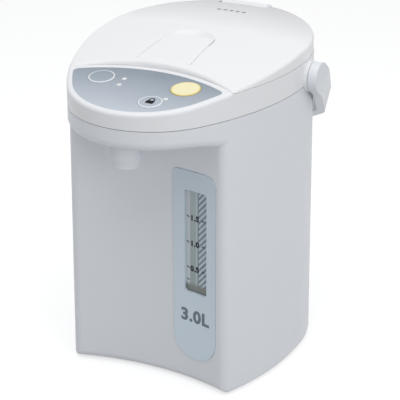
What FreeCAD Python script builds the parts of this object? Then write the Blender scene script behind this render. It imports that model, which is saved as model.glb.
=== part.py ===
import FreeCAD, Part
import math
import os

V = FreeCAD.Vector

# Plan of the pot: a round back, long side arcs and a round nose over the spout
HALF_WIDTH = 98.0
BACK_STRAIGHT = 8.0
SIDE_RADIUS = 233.0
NOSE_REACH = 159.0
FOOT_SPREAD = 3.4

# Heights of the casing and of the shoulder ring
FLOOR_GAP = 1.5
SEAM_Z = 258.0
SEAM_GAP = 0.6
RIM_Z = 279.4
WALL = 2.5

# Front recess over the cup
RECESS_RADIUS = 242.7
RECESS_WALL_Y = -92.8
CEILING_Z = 240.0
ARCH_HALF_WIDTH = 80.0
ARCH_CORNER = 34.0
CORNER_ROUND = 8.0
FOOT_ROUND = 5.0

# Bottom opening of the casing and the base plate in it
FOOT_BAND = 9.0
FOOT_LEDGE = 9.0
PLATE_THICK = 2.5
LEDGE_THICK = 2.5
PLATE_CLEAR = 0.3
FOOT_RADIUS = 9.0
FOOT_POCKET = 0.8
FEET = ((-62.0, -72.0), (62.0, -72.0), (-58.0, 62.0), (58.0, 62.0))
SCREW_SPOTS = ((-48.0, -84.0), (48.0, -84.0), (-84.5, 30.0), (84.5, 30.0))
SCREW_RADIUS = 1.6
SCREW_HEAD_RADIUS = 3.2
SCREW_HEAD_HEIGHT = 1.6
SCREW_SLOT_HALF = 2.0
SCREW_SLOT_WIDTH = 0.8
SCREW_POST_WALL = 1.5
SCREW_LENGTH = 9.0

# Sloped control panel on the nose
PANEL_Y = -93.0
PANEL_Z = 281.3
PANEL_SLOPE = 7.8
PANEL_ARC_Y = -228.0
PANEL_ARC_RADIUS = 153.0
PANEL_EDGE_ROUND = 3.0
OVERLAY_BORDER = 5.0
OVERLAY_THICK = 0.5
OVERLAY_RECESS = 0.6
OVERLAY_CORNER = 5.0
BUTTONS = {
    "reboil_button": (-40.0, -11.0, 11.5),
    "dispense_button": (38.0, -9.0, 12.7),
    "lock_button": (21.5, -39.5, 10.3),
}
BUTTON_PROUD = 0.5
BUTTON_TRAVEL = 0.8
BUTTON_CLEAR = 0.3
BUTTON_FLANGE = 1.2
LAMPS = ((-19.8, -8.0), (-18.6, -19.2), (30.6, -30.3))
LAMP_RADIUS = 2.2
LAMP_CLEAR = 0.1
LED_RADIUS = 1.1
BUTTON_STEM = 3.0
BOARD_THICK = 1.6
SWITCH_HEIGHT = 2.2
SWITCH_SIDE = 6.0
BOARD_POSTS = ((-49.0, -27.0), (49.0, -27.0), (-16.0, -44.0), (2.0, -52.0))
POST_RADIUS = 2.5

# Inner vessel, its mouth and its seat on the shoulder ring
VESSEL_Y = 2.0
VESSEL_RADIUS = 80.0
VESSEL_WALL = 0.8
VESSEL_FLOOR_Z = 91.0
VESSEL_SHOULDER_Z = 246.0
MOUTH_RADIUS = 68.0
NECK_Z = 260.0
DECK_BOTTOM = 266.0
DECK_THICK = 2.5
GASKET_THICK = 1.0
FLANGE_WIDTH = 5.5
MOUTH_CLEAR = 0.6

# Lid
LID_LIFT = 0.4
LID_INSET = 0.8
LID_GAP = 0.6
LID_WALL = 2.2
DOME_TOP = 299.0
DOME_Y = 50.0
DOME_RADIUS = 760.0
LID_ROUND = 3.0
LID_CORNER = 3.0
LINER_INSET = 1.6
LINER_FLOOR_Z = 273.0
LINER_WALL = 2.0
PLUG_RADIUS = 62.0
PLUG_DEPTH = 5.0
SEAL_WIDTH = 5.0
SEAL_THICK = 2.6
SEAL_CLEAR = 0.3
LID_SCREWS = ((-70.0, -38.0), (70.0, -38.0), (-62.0, 56.0), (62.0, 56.0))
LID_BOSS = 4.0

# Steam way
SLOT_Y = 64.5
SLOT_PITCH = 6.2
SLOT_COUNT = 5
SLOT_WIDTH = 4.0
SLOT_DEPTH = 3.4
DUCT_RADIUS = 19.0
DUCT_SETBACK = 9.0
DUCT_WALL = 1.6
CAP_SETBACK = 22.0
CAP_RADIUS = 12.0
CAP_HEIGHT = 4.0
CAP_HOLE = 1.5
CAP_HOLE_RING = 5.0
CAP_HOLE_COUNT = 6
CAP_NECK = 9.8
CAP_NECK_BORE = 8.0
CAP_FLOOR = 1.5

# Lid lever, hinged along its front edge, and the finger dish behind it
LEVER_AXIS_Y = -66.0
LEVER_BARREL = 3.6
LEVER_FRONT_HALF = 25.0
LEVER_BACK_HALF = 21.5
LEVER_BACK_Y = -14.0
LEVER_THICK = 2.6
LEVER_GAP = 0.4
WELL_WALL = 1.6
WELL_FLOOR_Z = 281.6
DISH_RADIUS = 45.0
DISH_HALF = 24.4
DISH_Y = -27.4
LEVER_PIN_RADIUS = 1.2
LEVER_ARM_HALF = 3.0
LEVER_ARM_THICK = 2.0
PIN_CLEAR = 0.05

# Latch slide in the lid and the sprung keeper on the ring
LATCH_HALF = 7.0
LATCH_BOTTOM = 275.4
LATCH_THICK = 3.2
LATCH_TIP_Y = -72.8
LATCH_TAIL_Y = -46.0
LATCH_WINDOW = 2.7
KEEPER_HALF = 6.0
KEEPER_THICK = 0.8
KEEPER_HOOK = 2.6
KEEPER_BAY = 4.0
SPRING_RADIUS = 1.6
SPRING_WIRE = 0.4
SPRING_LENGTH = 14.0
SPRING_TURNS = 7

# Rear hinge of the lid
HINGE_Y = 97.0
HINGE_Z = 289.5
HUMP_RADIUS = 9.5
HUMP_HALF = 26.0
HUMP_TOP_HALF = 22.0
HUMP_GAP = 0.6
HUMP_BACK_RISE = 5.0
EAR_THICK = 4.0
EAR_WALL = 2.0
HINGE_PIN_RADIUS = 2.0

# Carry handle
PIVOT_Y = 16.5
PIVOT_Z = 265.0
BOSS_RADIUS = 13.5
BOSS_FACE_X = 101.5
BOSS_CLEAR = 0.4
HANDLE_GAP = 0.5
HANDLE_THICK = 8.0
ARM_LENGTH = 12.0
KNEE_X = 93.0
KNEE_REACH = 76.0
GRIP_HALF = 48.0
GRIP_REACH = 130.0
GRIP_HALF_HEIGHT = 10.0
HANDLE_REST_ANGLE = 35.0
HANDLE_SWING = 125.0
HOLLOW_WALL = 3.0
HOLLOW_START = 17.0
PIVOT_PIN_RADIUS = 4.0
PIVOT_HEAD_RADIUS = 6.5
PIVOT_HEAD_THICK = 3.0
PIVOT_BLOCK_X = 90.0
PIVOT_BLOCK_HALF = 9.0
PIVOT_BLOCK_TOP = 272.0
PIVOT_END_WALL = 2.0
KEY_INNER = 8.4
KEY_OUTER = 11.0
KEY_DEPTH = 2.4
KEY_SPAN = 24.0
KEY_CLEAR = 0.3

# Spout under the nose
SPOUT_Y = -137.0
SPOUT_RADIUS = 14.0
SPOUT_SHOULDER_Z = 226.5
SPOUT_TIP_Z = 219.0
SPOUT_TIP_RADIUS = 13.0
SPOUT_WALL = 2.2
SPOUT_FLANGE = 1.2
SPOUT_FLANGE_THICK = 2.2
SPOUT_CLEAR = 0.2
NOZZLE_RADIUS = 5.0
NOZZLE_BORE = 3.2
SPOUT_PIPE_END = 242.0
NECK_LENGTH = 9.0

# Water gauge on the right of the recess wall
COVER_LEFT = 22.0
COVER_RIGHT = 66.0
COVER_BOTTOM = 26.0
COVER_TOP = 206.0
COVER_LEFT_CORNER = 4.0
COVER_RIGHT_CORNER = 11.0
COVER_PROUD = 0.9
COVER_SUNK = 1.5
COVER_CLEAR = 0.2
WINDOW_LEFT = 33.0
WINDOW_RIGHT = 56.3
WINDOW_BOTTOM = 92.0
WINDOW_TOP = 188.5
WINDOW_CORNER = 3.0
WINDOW_FLANGE = 2.4
WINDOW_THICK = 1.5
GLASS_X = 43.0
GLASS_Y = -86.0
GLASS_RADIUS = 4.5
GLASS_BORE = 3.3
GLASS_BOTTOM = 82.0
GLASS_TOP = 234.0
BACKING_Y = -79.2
BACKING_THICK = 1.5

# Water way
PUMP_X = 20.0
PUMP_Y = -42.0
PUMP_RADIUS = 22.0
PUMP_WALL = 2.0
PUMP_TOP_Z = 62.0
PUMP_BOTTOM_Z = 44.0
PUMP_COVER_THICK = 2.0
IMPELLER_RADIUS = 15.0
IMPELLER_CLEAR = 0.3
IMPELLER_BLADES = 6
ROTOR_RADIUS = 12.0
ROTOR_THICK = 4.0
MOTOR_RADIUS = 15.0
MOTOR_HEIGHT = 28.0
SHAFT_RADIUS = 1.2
PIPE_RADIUS = 5.0
PIPE_BORE = 3.6
PIPE_CLEAR = 0.1
PIPE_Z = 250.5
PIPE_SLEEVE = 1.6
SPIGOT_RADIUS = 7.0
SPIGOT_LENGTH = 10.0
VALVE_RADIUS = 7.0
VALVE_WALL = 2.0
VALVE_HEIGHT = 15.0
VALVE_CAP = 1.0
BALL_RADIUS = 4.0

# Heating
HEATER_RADIUS = 38.0
HEATER_THICK = 5.0
HEATER_HOLE = 7.0
SENSOR_RADIUS = 5.0
SENSOR_HEIGHT = 9.0
FUSE_SIZE = (16.0, 7.0, 4.0)
BAND_THICK = 1.2
BAND_BOTTOM = 100.0
BAND_TOP = 138.0
CLOSE = 0.2

# Power parts on the base plate
BOARD_BOX = (-66.0, 4.0, 6.0, 56.0)
BOARD_Z = 12.0
TRANSFORMER = (34.0, 28.0, 24.0)
SOCKET_HALF = 17.0
SOCKET_BOTTOM = 22.0
SOCKET_HEIGHT = 22.0
SOCKET_DEPTH = 24.0
SOCKET_WALL = 3.0
SOCKET_CAVITY = 12.0
SOCKET_CLEAR = 0.2
SOCKET_LIP = 4.0
PRONG_RADIUS = 1.5
PRONG_LENGTH = 9.0
PRONG_PITCH = 7.0

# Values worked out from the sizes above
HIGH = 330.0
NOSE_RADIUS = (SIDE_RADIUS ** 2 - (SIDE_RADIUS - HALF_WIDTH) ** 2 - NOSE_REACH ** 2) / (
    2.0 * (SIDE_RADIUS - NOSE_REACH))
SIDE_CENTRE_X = HALF_WIDTH - SIDE_RADIUS
NOSE_CENTRE_Y = NOSE_RADIUS - NOSE_REACH
NOSE_TURN = math.atan2(NOSE_CENTRE_Y, -SIDE_CENTRE_X)
RECESS_CENTRE_Y = RECESS_WALL_Y - RECESS_RADIUS
RING_BOTTOM = SEAM_Z + SEAM_GAP
DECK_TOP = DECK_BOTTOM + DECK_THICK
FLANGE_BOTTOM = DECK_TOP + GASKET_THICK
FLANGE_TOP = FLANGE_BOTTOM + VESSEL_WALL
FLANGE_RADIUS = MOUTH_RADIUS + FLANGE_WIDTH
LID_BOTTOM = RIM_Z + LID_LIFT
PLATE_TOP = FLOOR_GAP + PLATE_THICK
CAVITY_FLOOR = PLATE_TOP + LEDGE_THICK
VESSEL_OUTER = VESSEL_RADIUS + VESSEL_WALL
VESSEL_BOTTOM = VESSEL_FLOOR_Z - VESSEL_WALL
DECK_FACE = -OVERLAY_RECESS
DECK_BACK = DECK_FACE - WALL
FLANGE_FACE = DECK_BACK - BUTTON_CLEAR
SWITCH_TOP = FLANGE_FACE - BUTTON_FLANGE - BUTTON_TRAVEL - CLOSE
BOARD_FACE = SWITCH_TOP - SWITCH_HEIGHT
HANDLE_INNER_X = BOSS_FACE_X + HANDLE_GAP
HANDLE_OUTER_X = HANDLE_INNER_X + HANDLE_THICK
LATCH_TOP = LATCH_BOTTOM + LATCH_THICK
HANDLE_REACH = PIVOT_Y + GRIP_REACH * math.cos(math.radians(HANDLE_REST_ANGLE)) + (
    GRIP_HALF_HEIGHT * math.sin(math.radians(HANDLE_REST_ANGLE)))
SHIFT_Y = (NOSE_REACH - HANDLE_REACH) / 2.0


def box(x0, x1, y0, y1, z0, z1):
    return Part.makeBox(x1 - x0, y1 - y0, z1 - z0, V(x0, y0, z0))


def post(radius, x, y, z0, z1):
    return Part.makeCylinder(radius, z1 - z0, V(x, y, z0), V(0, 0, 1))


def ring(outer, inner, x, y, z0, z1):
    return post(outer, x, y, z0, z1).cut(post(inner, x, y, z0 - 1.0, z1 + 1.0))


def bar(radius, y, z, x0, x1):
    return Part.makeCylinder(radius, x1 - x0, V(x0, y, z), V(1, 0, 0))


def rod(radius, start, end):
    path = end.sub(start)
    return Part.makeCylinder(radius, path.Length, start, path)


def fuse(shapes):
    return shapes[0].fuse(shapes[1:]).removeSplitter()


def flat(points):
    """Face of straight sides through the given points."""
    return Part.Face(Part.makePolygon(points + [points[0]]))


def arc(start, middle, end):
    return Part.Arc(start, middle, end).toShape()


def plan_wire(inset, z):
    """Outline of the pot seen from above, moved inwards by inset."""
    half = HALF_WIDTH - inset
    side = SIDE_RADIUS - inset
    nose = NOSE_RADIUS - inset

    def on_side(angle, sign):
        return V(sign * (SIDE_CENTRE_X + side * math.cos(angle)), side * math.sin(angle), z)

    right = on_side(NOSE_TURN, 1.0)
    left = on_side(NOSE_TURN, -1.0)
    edges = [
        arc(right, on_side(NOSE_TURN / 2.0, 1.0), V(half, 0, z)),
        Part.makeLine(V(half, 0, z), V(half, BACK_STRAIGHT, z)),
        arc(V(half, BACK_STRAIGHT, z), V(0, BACK_STRAIGHT + half, z), V(-half, BACK_STRAIGHT, z)),
        Part.makeLine(V(-half, BACK_STRAIGHT, z), V(-half, 0, z)),
        arc(V(-half, 0, z), on_side(NOSE_TURN / 2.0, -1.0), left),
        arc(left, V(0, NOSE_CENTRE_Y - nose, z), right),
    ]
    return Part.Wire(edges)


def plan_prism(inset, z0, z1):
    return Part.Face(plan_wire(inset, z0)).extrude(V(0, 0, z1 - z0))


def spread(z):
    return FOOT_SPREAD * (1.0 - z / SEAM_Z)


def casing_sides(inset, z0, z1):
    """The pot's tapering sides between two heights."""
    return Part.makeLoft([plan_wire(inset - spread(z0), z0), plan_wire(inset - spread(z1), z1)], True, True)


def recess_cutter(inset, z0):
    """The hollow over the cup: a concave wall under an arch."""
    half = ARCH_HALF_WIDTH + inset
    top = CEILING_Z + inset
    corner = ARCH_CORNER + inset
    slant = corner * (1.0 - math.sqrt(0.5))
    y = RECESS_CENTRE_Y
    edges = [
        Part.makeLine(V(-half, y, z0), V(half, y, z0)),
        Part.makeLine(V(half, y, z0), V(half, y, top - corner)),
        arc(V(half, y, top - corner), V(half - slant, y, top - slant), V(half - corner, y, top)),
        Part.makeLine(V(half - corner, y, top), V(corner - half, y, top)),
        arc(V(corner - half, y, top), V(slant - half, y, top - slant), V(-half, y, top - corner)),
        Part.makeLine(V(-half, y, top - corner), V(-half, y, z0)),
    ]
    arch = Part.Face(Part.Wire(edges)).extrude(V(0, RECESS_RADIUS * 1.5, 0))
    return arch.common(post(RECESS_RADIUS + inset, 0, y, z0, top))


def shared_edges(body, first, second):
    """Edges of a body whose middle lies on the skins of both other shapes."""
    found = []
    first_skin = Part.Shell(first.Faces)
    second_skin = Part.Shell(second.Faces)
    for edge in body.Edges:
        middle = edge.valueAt((edge.FirstParameter + edge.LastParameter) / 2.0)
        spot = Part.Vertex(middle)
        if spot.distToShape(first_skin)[0] < 0.01 and spot.distToShape(second_skin)[0] < 0.01:
            found.append(edge)
    return found


def casing_form(inset, z0, z1):
    """Tapering sides with the front recess and its rounded corners and lip."""
    sides = casing_sides(inset, z0, z1)
    cutter = recess_cutter(inset, z0 - 1.0)
    body = sides.cut(cutter)
    return body.makeFillet(CORNER_ROUND - inset, shared_edges(body, sides, cutter))


def foot_prism(inset, z0, z1):
    """Straight-sided form of the casing's foot, for what fits into it."""
    sides = plan_prism(inset - FOOT_SPREAD, z0, z1)
    return sides.cut(post(RECESS_RADIUS + inset, 0, RECESS_CENTRE_Y, z0 - 1.0, z1 + 1.0))


def panel_frame(shape):
    """Moves a shape drawn on the level into the sloped panel's plane."""
    placed = shape.copy()
    placed.Placement = FreeCAD.Placement(
        V(0, PANEL_Y, PANEL_Z), FreeCAD.Rotation(V(1, 0, 0), PANEL_SLOPE)).multiply(placed.Placement)
    return placed


def panel_slab(low, high):
    reach = 2.0 * NOSE_REACH
    return panel_frame(box(-reach, reach, -reach, reach, low, high))


def panel_post(radius, spot, low, high):
    return panel_frame(post(radius, spot[0], spot[1], low, high))


def behind_panel(shape, gap):
    return shape.cut(post(PANEL_ARC_RADIUS + gap, 0, PANEL_ARC_Y, -1.0, HIGH))


def dome_z(x, y):
    return DOME_TOP - DOME_RADIUS + math.sqrt(DOME_RADIUS ** 2 - x ** 2 - (y - DOME_Y) ** 2)


def dome(drop):
    return Part.makeSphere(DOME_RADIUS - drop, V(0, DOME_Y, DOME_TOP - DOME_RADIUS))


def lid_form(inset, bottom):
    """Domed lid with rounded corners and a rounded crease."""
    walls = behind_panel(plan_prism(LID_INSET + inset, bottom, HIGH - 10.0), LID_GAP + inset)
    corners = [edge for edge in walls.Edges
               if abs(edge.tangentAt(edge.FirstParameter).z) > 0.99
               and edge.valueAt(edge.FirstParameter).y < PANEL_Y / 2.0
               and abs(math.hypot(edge.valueAt(edge.FirstParameter).x,
                                  edge.valueAt(edge.FirstParameter).y - PANEL_ARC_Y)
                       - PANEL_ARC_RADIUS - LID_GAP - inset) < 0.01]
    walls = walls.makeFillet(LID_CORNER, corners)
    ball = dome(inset)
    body = walls.common(ball)
    crease = shared_edges(body, walls, ball)
    return body.makeFillet(LID_ROUND - min(inset, LID_ROUND - 1.0), crease)


def lever_plan(grow, z0, z1):
    """Lever outline from its hinge line to its back edge."""
    front = LEVER_FRONT_HALF + grow
    back = LEVER_BACK_HALF + grow
    face = flat([V(-front, LEVER_AXIS_Y, z0), V(front, LEVER_AXIS_Y, z0),
                 V(back, LEVER_BACK_Y + grow, z0), V(-back, LEVER_BACK_Y + grow, z0)])
    return face.extrude(V(0, 0, z1 - z0))


LEVER_AXIS_Z = dome_z(0.0, LEVER_AXIS_Y) - LEVER_BARREL
LATCH_RATIO = LEVER_AXIS_Z - (LATCH_BOTTOM + LATCH_TOP) / 2.0


def hinge_block(gap, half):
    """Round hump about the hinge line with the block behind it."""
    block = box(-half, half, HINGE_Y, HINGE_Y + 2.0 * HUMP_RADIUS, RIM_Z, HINGE_Z + HUMP_BACK_RISE + gap)
    return bar(HUMP_RADIUS + gap, HINGE_Y, HINGE_Z, -half, half).fuse(block)


def foot_wire(inset, z):
    """Casing outline with the recess and its rounded corners, for the rounded foot."""
    side = SIDE_RADIUS - inset + spread(z)
    hollow = RECESS_RADIUS + inset
    corner = CORNER_ROUND - inset
    side_centre = V(SIDE_CENTRE_X, 0, z)
    hollow_centre = V(0, RECESS_CENTRE_Y, z)
    apart = hollow_centre.sub(side_centre)
    near = side - corner
    far = hollow + corner
    along = (near ** 2 - far ** 2 + apart.Length ** 2) / (2.0 * apart.Length)
    across = math.sqrt(near ** 2 - along ** 2)
    apart.normalize()
    centre = side_centre.add(V(apart).multiply(along)).add(V(-apart.y, apart.x, 0).multiply(across))
    to_side = centre.sub(side_centre)
    to_side.normalize()
    to_hollow = hollow_centre.sub(centre)
    to_hollow.normalize()
    middle = to_side.add(to_hollow)
    middle.normalize()
    on_side = centre.add(V(to_side).multiply(corner))
    on_hollow = centre.add(V(to_hollow).multiply(corner))
    tip = centre.add(V(middle).multiply(corner))
    half_turn = math.atan2(to_side.y, to_side.x) / 2.0
    on_flank = V(SIDE_CENTRE_X + side * math.cos(half_turn), side * math.sin(half_turn), z)
    half = HALF_WIDTH - inset + spread(z)

    def other(point):
        return V(-point.x, point.y, point.z)

    return Part.Wire([
        arc(on_side, on_flank, V(half, 0, z)),
        Part.makeLine(V(half, 0, z), V(half, BACK_STRAIGHT, z)),
        arc(V(half, BACK_STRAIGHT, z), V(0, BACK_STRAIGHT + half, z), V(-half, BACK_STRAIGHT, z)),
        Part.makeLine(V(-half, BACK_STRAIGHT, z), V(-half, 0, z)),
        arc(V(-half, 0, z), other(on_flank), other(on_side)),
        arc(other(on_side), other(tip), other(on_hollow)),
        arc(other(on_hollow), V(0, RECESS_CENTRE_Y + hollow, z), on_hollow),
        arc(on_hollow, tip, on_side),
    ])


def foot_limit():
    """Rounds off the casing's foot: everything inside it stays."""
    steps = []
    for share in (0.0, 0.25, 0.55, 1.05):
        inset = FOOT_ROUND * (1.0 - math.sqrt(max(0.0, 1.0 - (1.0 - share) ** 2)))
        steps.append(foot_wire(min(inset, FOOT_ROUND - 1.5) - 0.1, FLOOR_GAP + share * FOOT_ROUND))
    top = FLOOR_GAP + 1.05 * FOOT_ROUND
    reach = 2.0 * NOSE_REACH
    return Part.makeLoft(steps, True, True).fuse(box(-reach, reach, -reach, reach, top, HIGH))


def make_outer_body():
    body = casing_form(0.0, FLOOR_GAP, SEAM_Z).common(foot_limit())
    body = body.cut(casing_form(WALL, CAVITY_FLOOR, SEAM_Z + 1.0))
    body = body.cut(foot_prism(FOOT_BAND, 0.0, PLATE_TOP))
    body = body.cut(foot_prism(FOOT_BAND + FOOT_LEDGE, 0.0, CAVITY_FLOOR + 1.0))
    for x, y in SCREW_SPOTS:
        stay = foot_prism(WALL, CAVITY_FLOOR, CAVITY_FLOOR + SCREW_LENGTH)
        body = body.fuse(post(SCREW_HEAD_RADIUS + SCREW_POST_WALL, x, y, PLATE_TOP, CAVITY_FLOOR + SCREW_LENGTH).common(
            stay.fuse(box(x - 9.0, x + 9.0, y - 9.0, y + 9.0, PLATE_TOP, CAVITY_FLOOR))))
        body = body.cut(post(SCREW_RADIUS, x, y, PLATE_TOP, PLATE_TOP + SCREW_LENGTH))
    body = body.cut(gauge_shell(cover_outline(COVER_CLEAR), -COVER_PROUD, COVER_SUNK + COVER_CLEAR))
    body = body.cut(gauge_shell(window_outline(WINDOW_FLANGE + COVER_CLEAR), 0.0, WALL + 5.0))
    body = body.cut(post(SPOUT_RADIUS + SPOUT_CLEAR, 0, SPOUT_Y, CEILING_Z - 20.0, CEILING_Z + 2.0 * WALL))
    hole = box(-SOCKET_HALF - SOCKET_CLEAR, SOCKET_HALF + SOCKET_CLEAR, HALF_WIDTH - 10.0,
               HALF_WIDTH + 30.0, SOCKET_BOTTOM - SOCKET_CLEAR, SOCKET_BOTTOM + SOCKET_HEIGHT + SOCKET_CLEAR)
    return body.cut(hole)


def make_shoulder_ring():
    sides = plan_prism(0.0, 0.0, HIGH)
    front = plan_prism(0.0, RING_BOTTOM, HIGH).common(panel_slab(-HIGH, 0.0))
    front = front.makeFillet(PANEL_EDGE_ROUND, shared_edges(front, sides, panel_slab(-HIGH, 0.0)))
    front = front.common(post(PANEL_ARC_RADIUS, 0, PANEL_ARC_Y, RING_BOTTOM, HIGH))
    rear = behind_panel(plan_prism(0.0, RING_BOTTOM, RIM_Z), 0.0)
    body = fuse([front, rear])
    under = plan_prism(WALL, RING_BOTTOM - 1.0, HIGH)
    body = body.cut(under.common(post(PANEL_ARC_RADIUS - WALL, 0, PANEL_ARC_Y, 0.0, HIGH)).common(
        panel_slab(-HIGH, DECK_BACK)))
    body = body.cut(behind_panel(plan_prism(WALL, DECK_TOP, HIGH), 0.0))
    body = body.cut(behind_panel(plan_prism(WALL, RING_BOTTOM - 1.0, DECK_BOTTOM), 0.0))
    body = body.cut(post(MOUTH_RADIUS + VESSEL_WALL + MOUTH_CLEAR, 0, VESSEL_Y, DECK_BOTTOM - 1.0, DECK_TOP + 1.0))
    collar = plan_prism(WALL + CLOSE, RING_BOTTOM - 5.0, RING_BOTTOM).cut(
        plan_prism(2.0 * WALL, RING_BOTTOM - 6.0, RING_BOTTOM + 1.0))
    link = plan_prism(WALL / 2.0, RING_BOTTOM, RING_BOTTOM + WALL).cut(
        plan_prism(2.0 * WALL, RING_BOTTOM - 1.0, RING_BOTTOM + WALL + 1.0))
    shoulder = HINGE_Z + HINGE_PIN_RADIUS + 1.0
    top = HINGE_Z + HUMP_RADIUS
    gable = flat([V(-HUMP_HALF, 0, RIM_Z - 1.0), V(HUMP_HALF, 0, RIM_Z - 1.0), V(HUMP_HALF, 0, shoulder),
                  V(HUMP_TOP_HALF, 0, top + 0.1), V(-HUMP_TOP_HALF, 0, top + 0.1), V(-HUMP_HALF, 0, shoulder)])
    hump = hinge_block(0.0, HUMP_HALF).common(sides).common(gable.extrude(V(0, NOSE_REACH, 0)))
    parts = [body, collar, link, hump]
    for side in (-1.0, 1.0):
        boss = bar(BOSS_RADIUS, PIVOT_Y, PIVOT_Z, HALF_WIDTH - 1.0, BOSS_FACE_X)
        if side < 0:
            boss = boss.mirror(V(0, 0, 0), V(1, 0, 0))
        parts.append(boss.cut(casing_sides(-BOSS_CLEAR, PIVOT_Z - 2.0 * BOSS_RADIUS, RING_BOTTOM)))
        block = box(PIVOT_BLOCK_X, HALF_WIDTH - 1.0, PIVOT_Y - PIVOT_BLOCK_HALF, PIVOT_Y + PIVOT_BLOCK_HALF,
                    RING_BOTTOM, PIVOT_BLOCK_TOP)
        parts.append(block if side > 0 else block.mirror(V(0, 0, 0), V(1, 0, 0)))
    for spot in BOARD_POSTS:
        parts.append(panel_post(POST_RADIUS, spot, BOARD_FACE, DECK_BACK + 0.5))
    body = fuse(parts)
    body = body.cut(overlay_form(-COVER_CLEAR, DECK_FACE, 5.0))
    for x, y, radius in BUTTONS.values():
        body = body.cut(panel_post(radius + BUTTON_CLEAR, (x, y), DECK_BACK - 1.0, 1.0))
    for spot in LAMPS:
        body = body.cut(panel_post(LAMP_RADIUS + LAMP_CLEAR, spot, DECK_BACK - 1.0, 1.0))
    body = body.cut(bar(HINGE_PIN_RADIUS + PIN_CLEAR, HINGE_Y, HINGE_Z, -HUMP_HALF - 1.0, HUMP_HALF + 1.0))
    for side in (-1.0, 1.0):
        bore = bar(PIVOT_PIN_RADIUS + PIN_CLEAR, PIVOT_Y, PIVOT_Z, PIVOT_BLOCK_X - 1.0, HANDLE_OUTER_X)
        pocket = bar(PIVOT_HEAD_RADIUS + CLOSE, PIVOT_Y, PIVOT_Z, PIVOT_BLOCK_X - PIVOT_HEAD_THICK - CLOSE,
                     PIVOT_BLOCK_X)
        hole = bore.fuse(pocket)
        body = body.cut(hole if side > 0 else hole.mirror(V(0, 0, 0), V(1, 0, 0)))
        body = body.cut(key_sector(side, KEY_CLEAR, HANDLE_SWING))
    return body


def key_sector(side, clear, swing):
    """Stop key on the handle's end, or with clearance and swing its groove in the boss."""
    start = -HANDLE_REST_ANGLE - KEY_SPAN / 2.0 - math.degrees(clear / KEY_INNER)
    span = KEY_SPAN + swing + 2.0 * math.degrees(clear / KEY_INNER)
    depth = KEY_DEPTH + HANDLE_GAP + clear if clear > 0 else KEY_DEPTH + HANDLE_GAP
    low = HANDLE_INNER_X - depth
    sector = Part.makeCylinder(KEY_OUTER + clear, depth, V(0, 0, 0), V(0, 0, 1), span)
    sector = sector.cut(post(KEY_INNER - clear, 0, 0, -1.0, depth + 1.0))
    sector.Placement = FreeCAD.Placement(
        V(low, PIVOT_Y, PIVOT_Z),
        FreeCAD.Rotation(V(0, 1, 0), V(0, 0, 1), V(1, 0, 0), "ZXY")).multiply(
        FreeCAD.Placement(V(0, 0, 0), FreeCAD.Rotation(V(0, 0, 1), start)))
    if side < 0:
        sector = sector.mirror(V(0, 0, 0), V(1, 0, 0))
    return sector


def overlay_form(shrink, low, high):
    """Panel overlay outline with rounded corners, between two heights over the panel."""
    form = plan_prism(OVERLAY_BORDER + shrink, RING_BOTTOM, HIGH).common(
        post(PANEL_ARC_RADIUS - OVERLAY_BORDER - shrink, 0, PANEL_ARC_Y, RING_BOTTOM, HIGH))
    corners = [edge for edge in form.Edges
               if abs(edge.tangentAt(edge.FirstParameter).z) > 0.99
               and abs(edge.CenterOfMass.x) > HALF_WIDTH / 2.0
               and abs(math.hypot(edge.CenterOfMass.x, edge.CenterOfMass.y - PANEL_ARC_Y)
                       - PANEL_ARC_RADIUS + OVERLAY_BORDER + shrink) < 0.01]
    form = form.makeFillet(OVERLAY_CORNER, corners)
    return form.common(panel_slab(low, high))


def make_panel_overlay():
    body = overlay_form(0.0, DECK_FACE, DECK_FACE + OVERLAY_THICK)
    for x, y, radius in BUTTONS.values():
        body = body.cut(panel_post(radius + BUTTON_CLEAR, (x, y), -5.0, 5.0))
    for spot in LAMPS:
        body = body.cut(panel_post(LAMP_RADIUS + LAMP_CLEAR, spot, -5.0, 5.0))
    return body


def make_button(name):
    x, y, radius = BUTTONS[name]
    cap = post(radius, x, y, FLANGE_FACE - BUTTON_FLANGE, BUTTON_PROUD)
    top = [edge for edge in cap.Edges if abs(edge.CenterOfMass.z - BUTTON_PROUD) < 0.01]
    cap = cap.makeFillet(BUTTON_PROUD, top)
    flange = post(radius + BUTTON_FLANGE, x, y, FLANGE_FACE - BUTTON_FLANGE, FLANGE_FACE)
    hollow = post(radius - WALL, x, y, FLANGE_FACE - BUTTON_FLANGE - 1.0, DECK_FACE - 1.0)
    stem = post(BUTTON_STEM, x, y, FLANGE_FACE - BUTTON_FLANGE, DECK_FACE)
    return panel_frame(fuse([cap.cut(hollow), flange.cut(hollow), stem]))


def make_control_board():
    plate = overlay_form(OVERLAY_BORDER, BOARD_FACE - BOARD_THICK, BOARD_FACE)
    parts = [plate]
    half = SWITCH_SIDE / 2.0
    for x, y, radius in BUTTONS.values():
        parts.append(panel_frame(box(x - half, x + half, y - half, y + half, BOARD_FACE - 0.5, SWITCH_TOP)))
    for x, y in LAMPS:
        parts.append(panel_post(LED_RADIUS, (x, y), BOARD_FACE - 0.5, DECK_BACK - CLOSE))
    return fuse(parts)


def make_indicator_lenses():
    return [panel_post(LAMP_RADIUS, spot, DECK_BACK, DECK_FACE + OVERLAY_THICK) for spot in LAMPS]


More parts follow.
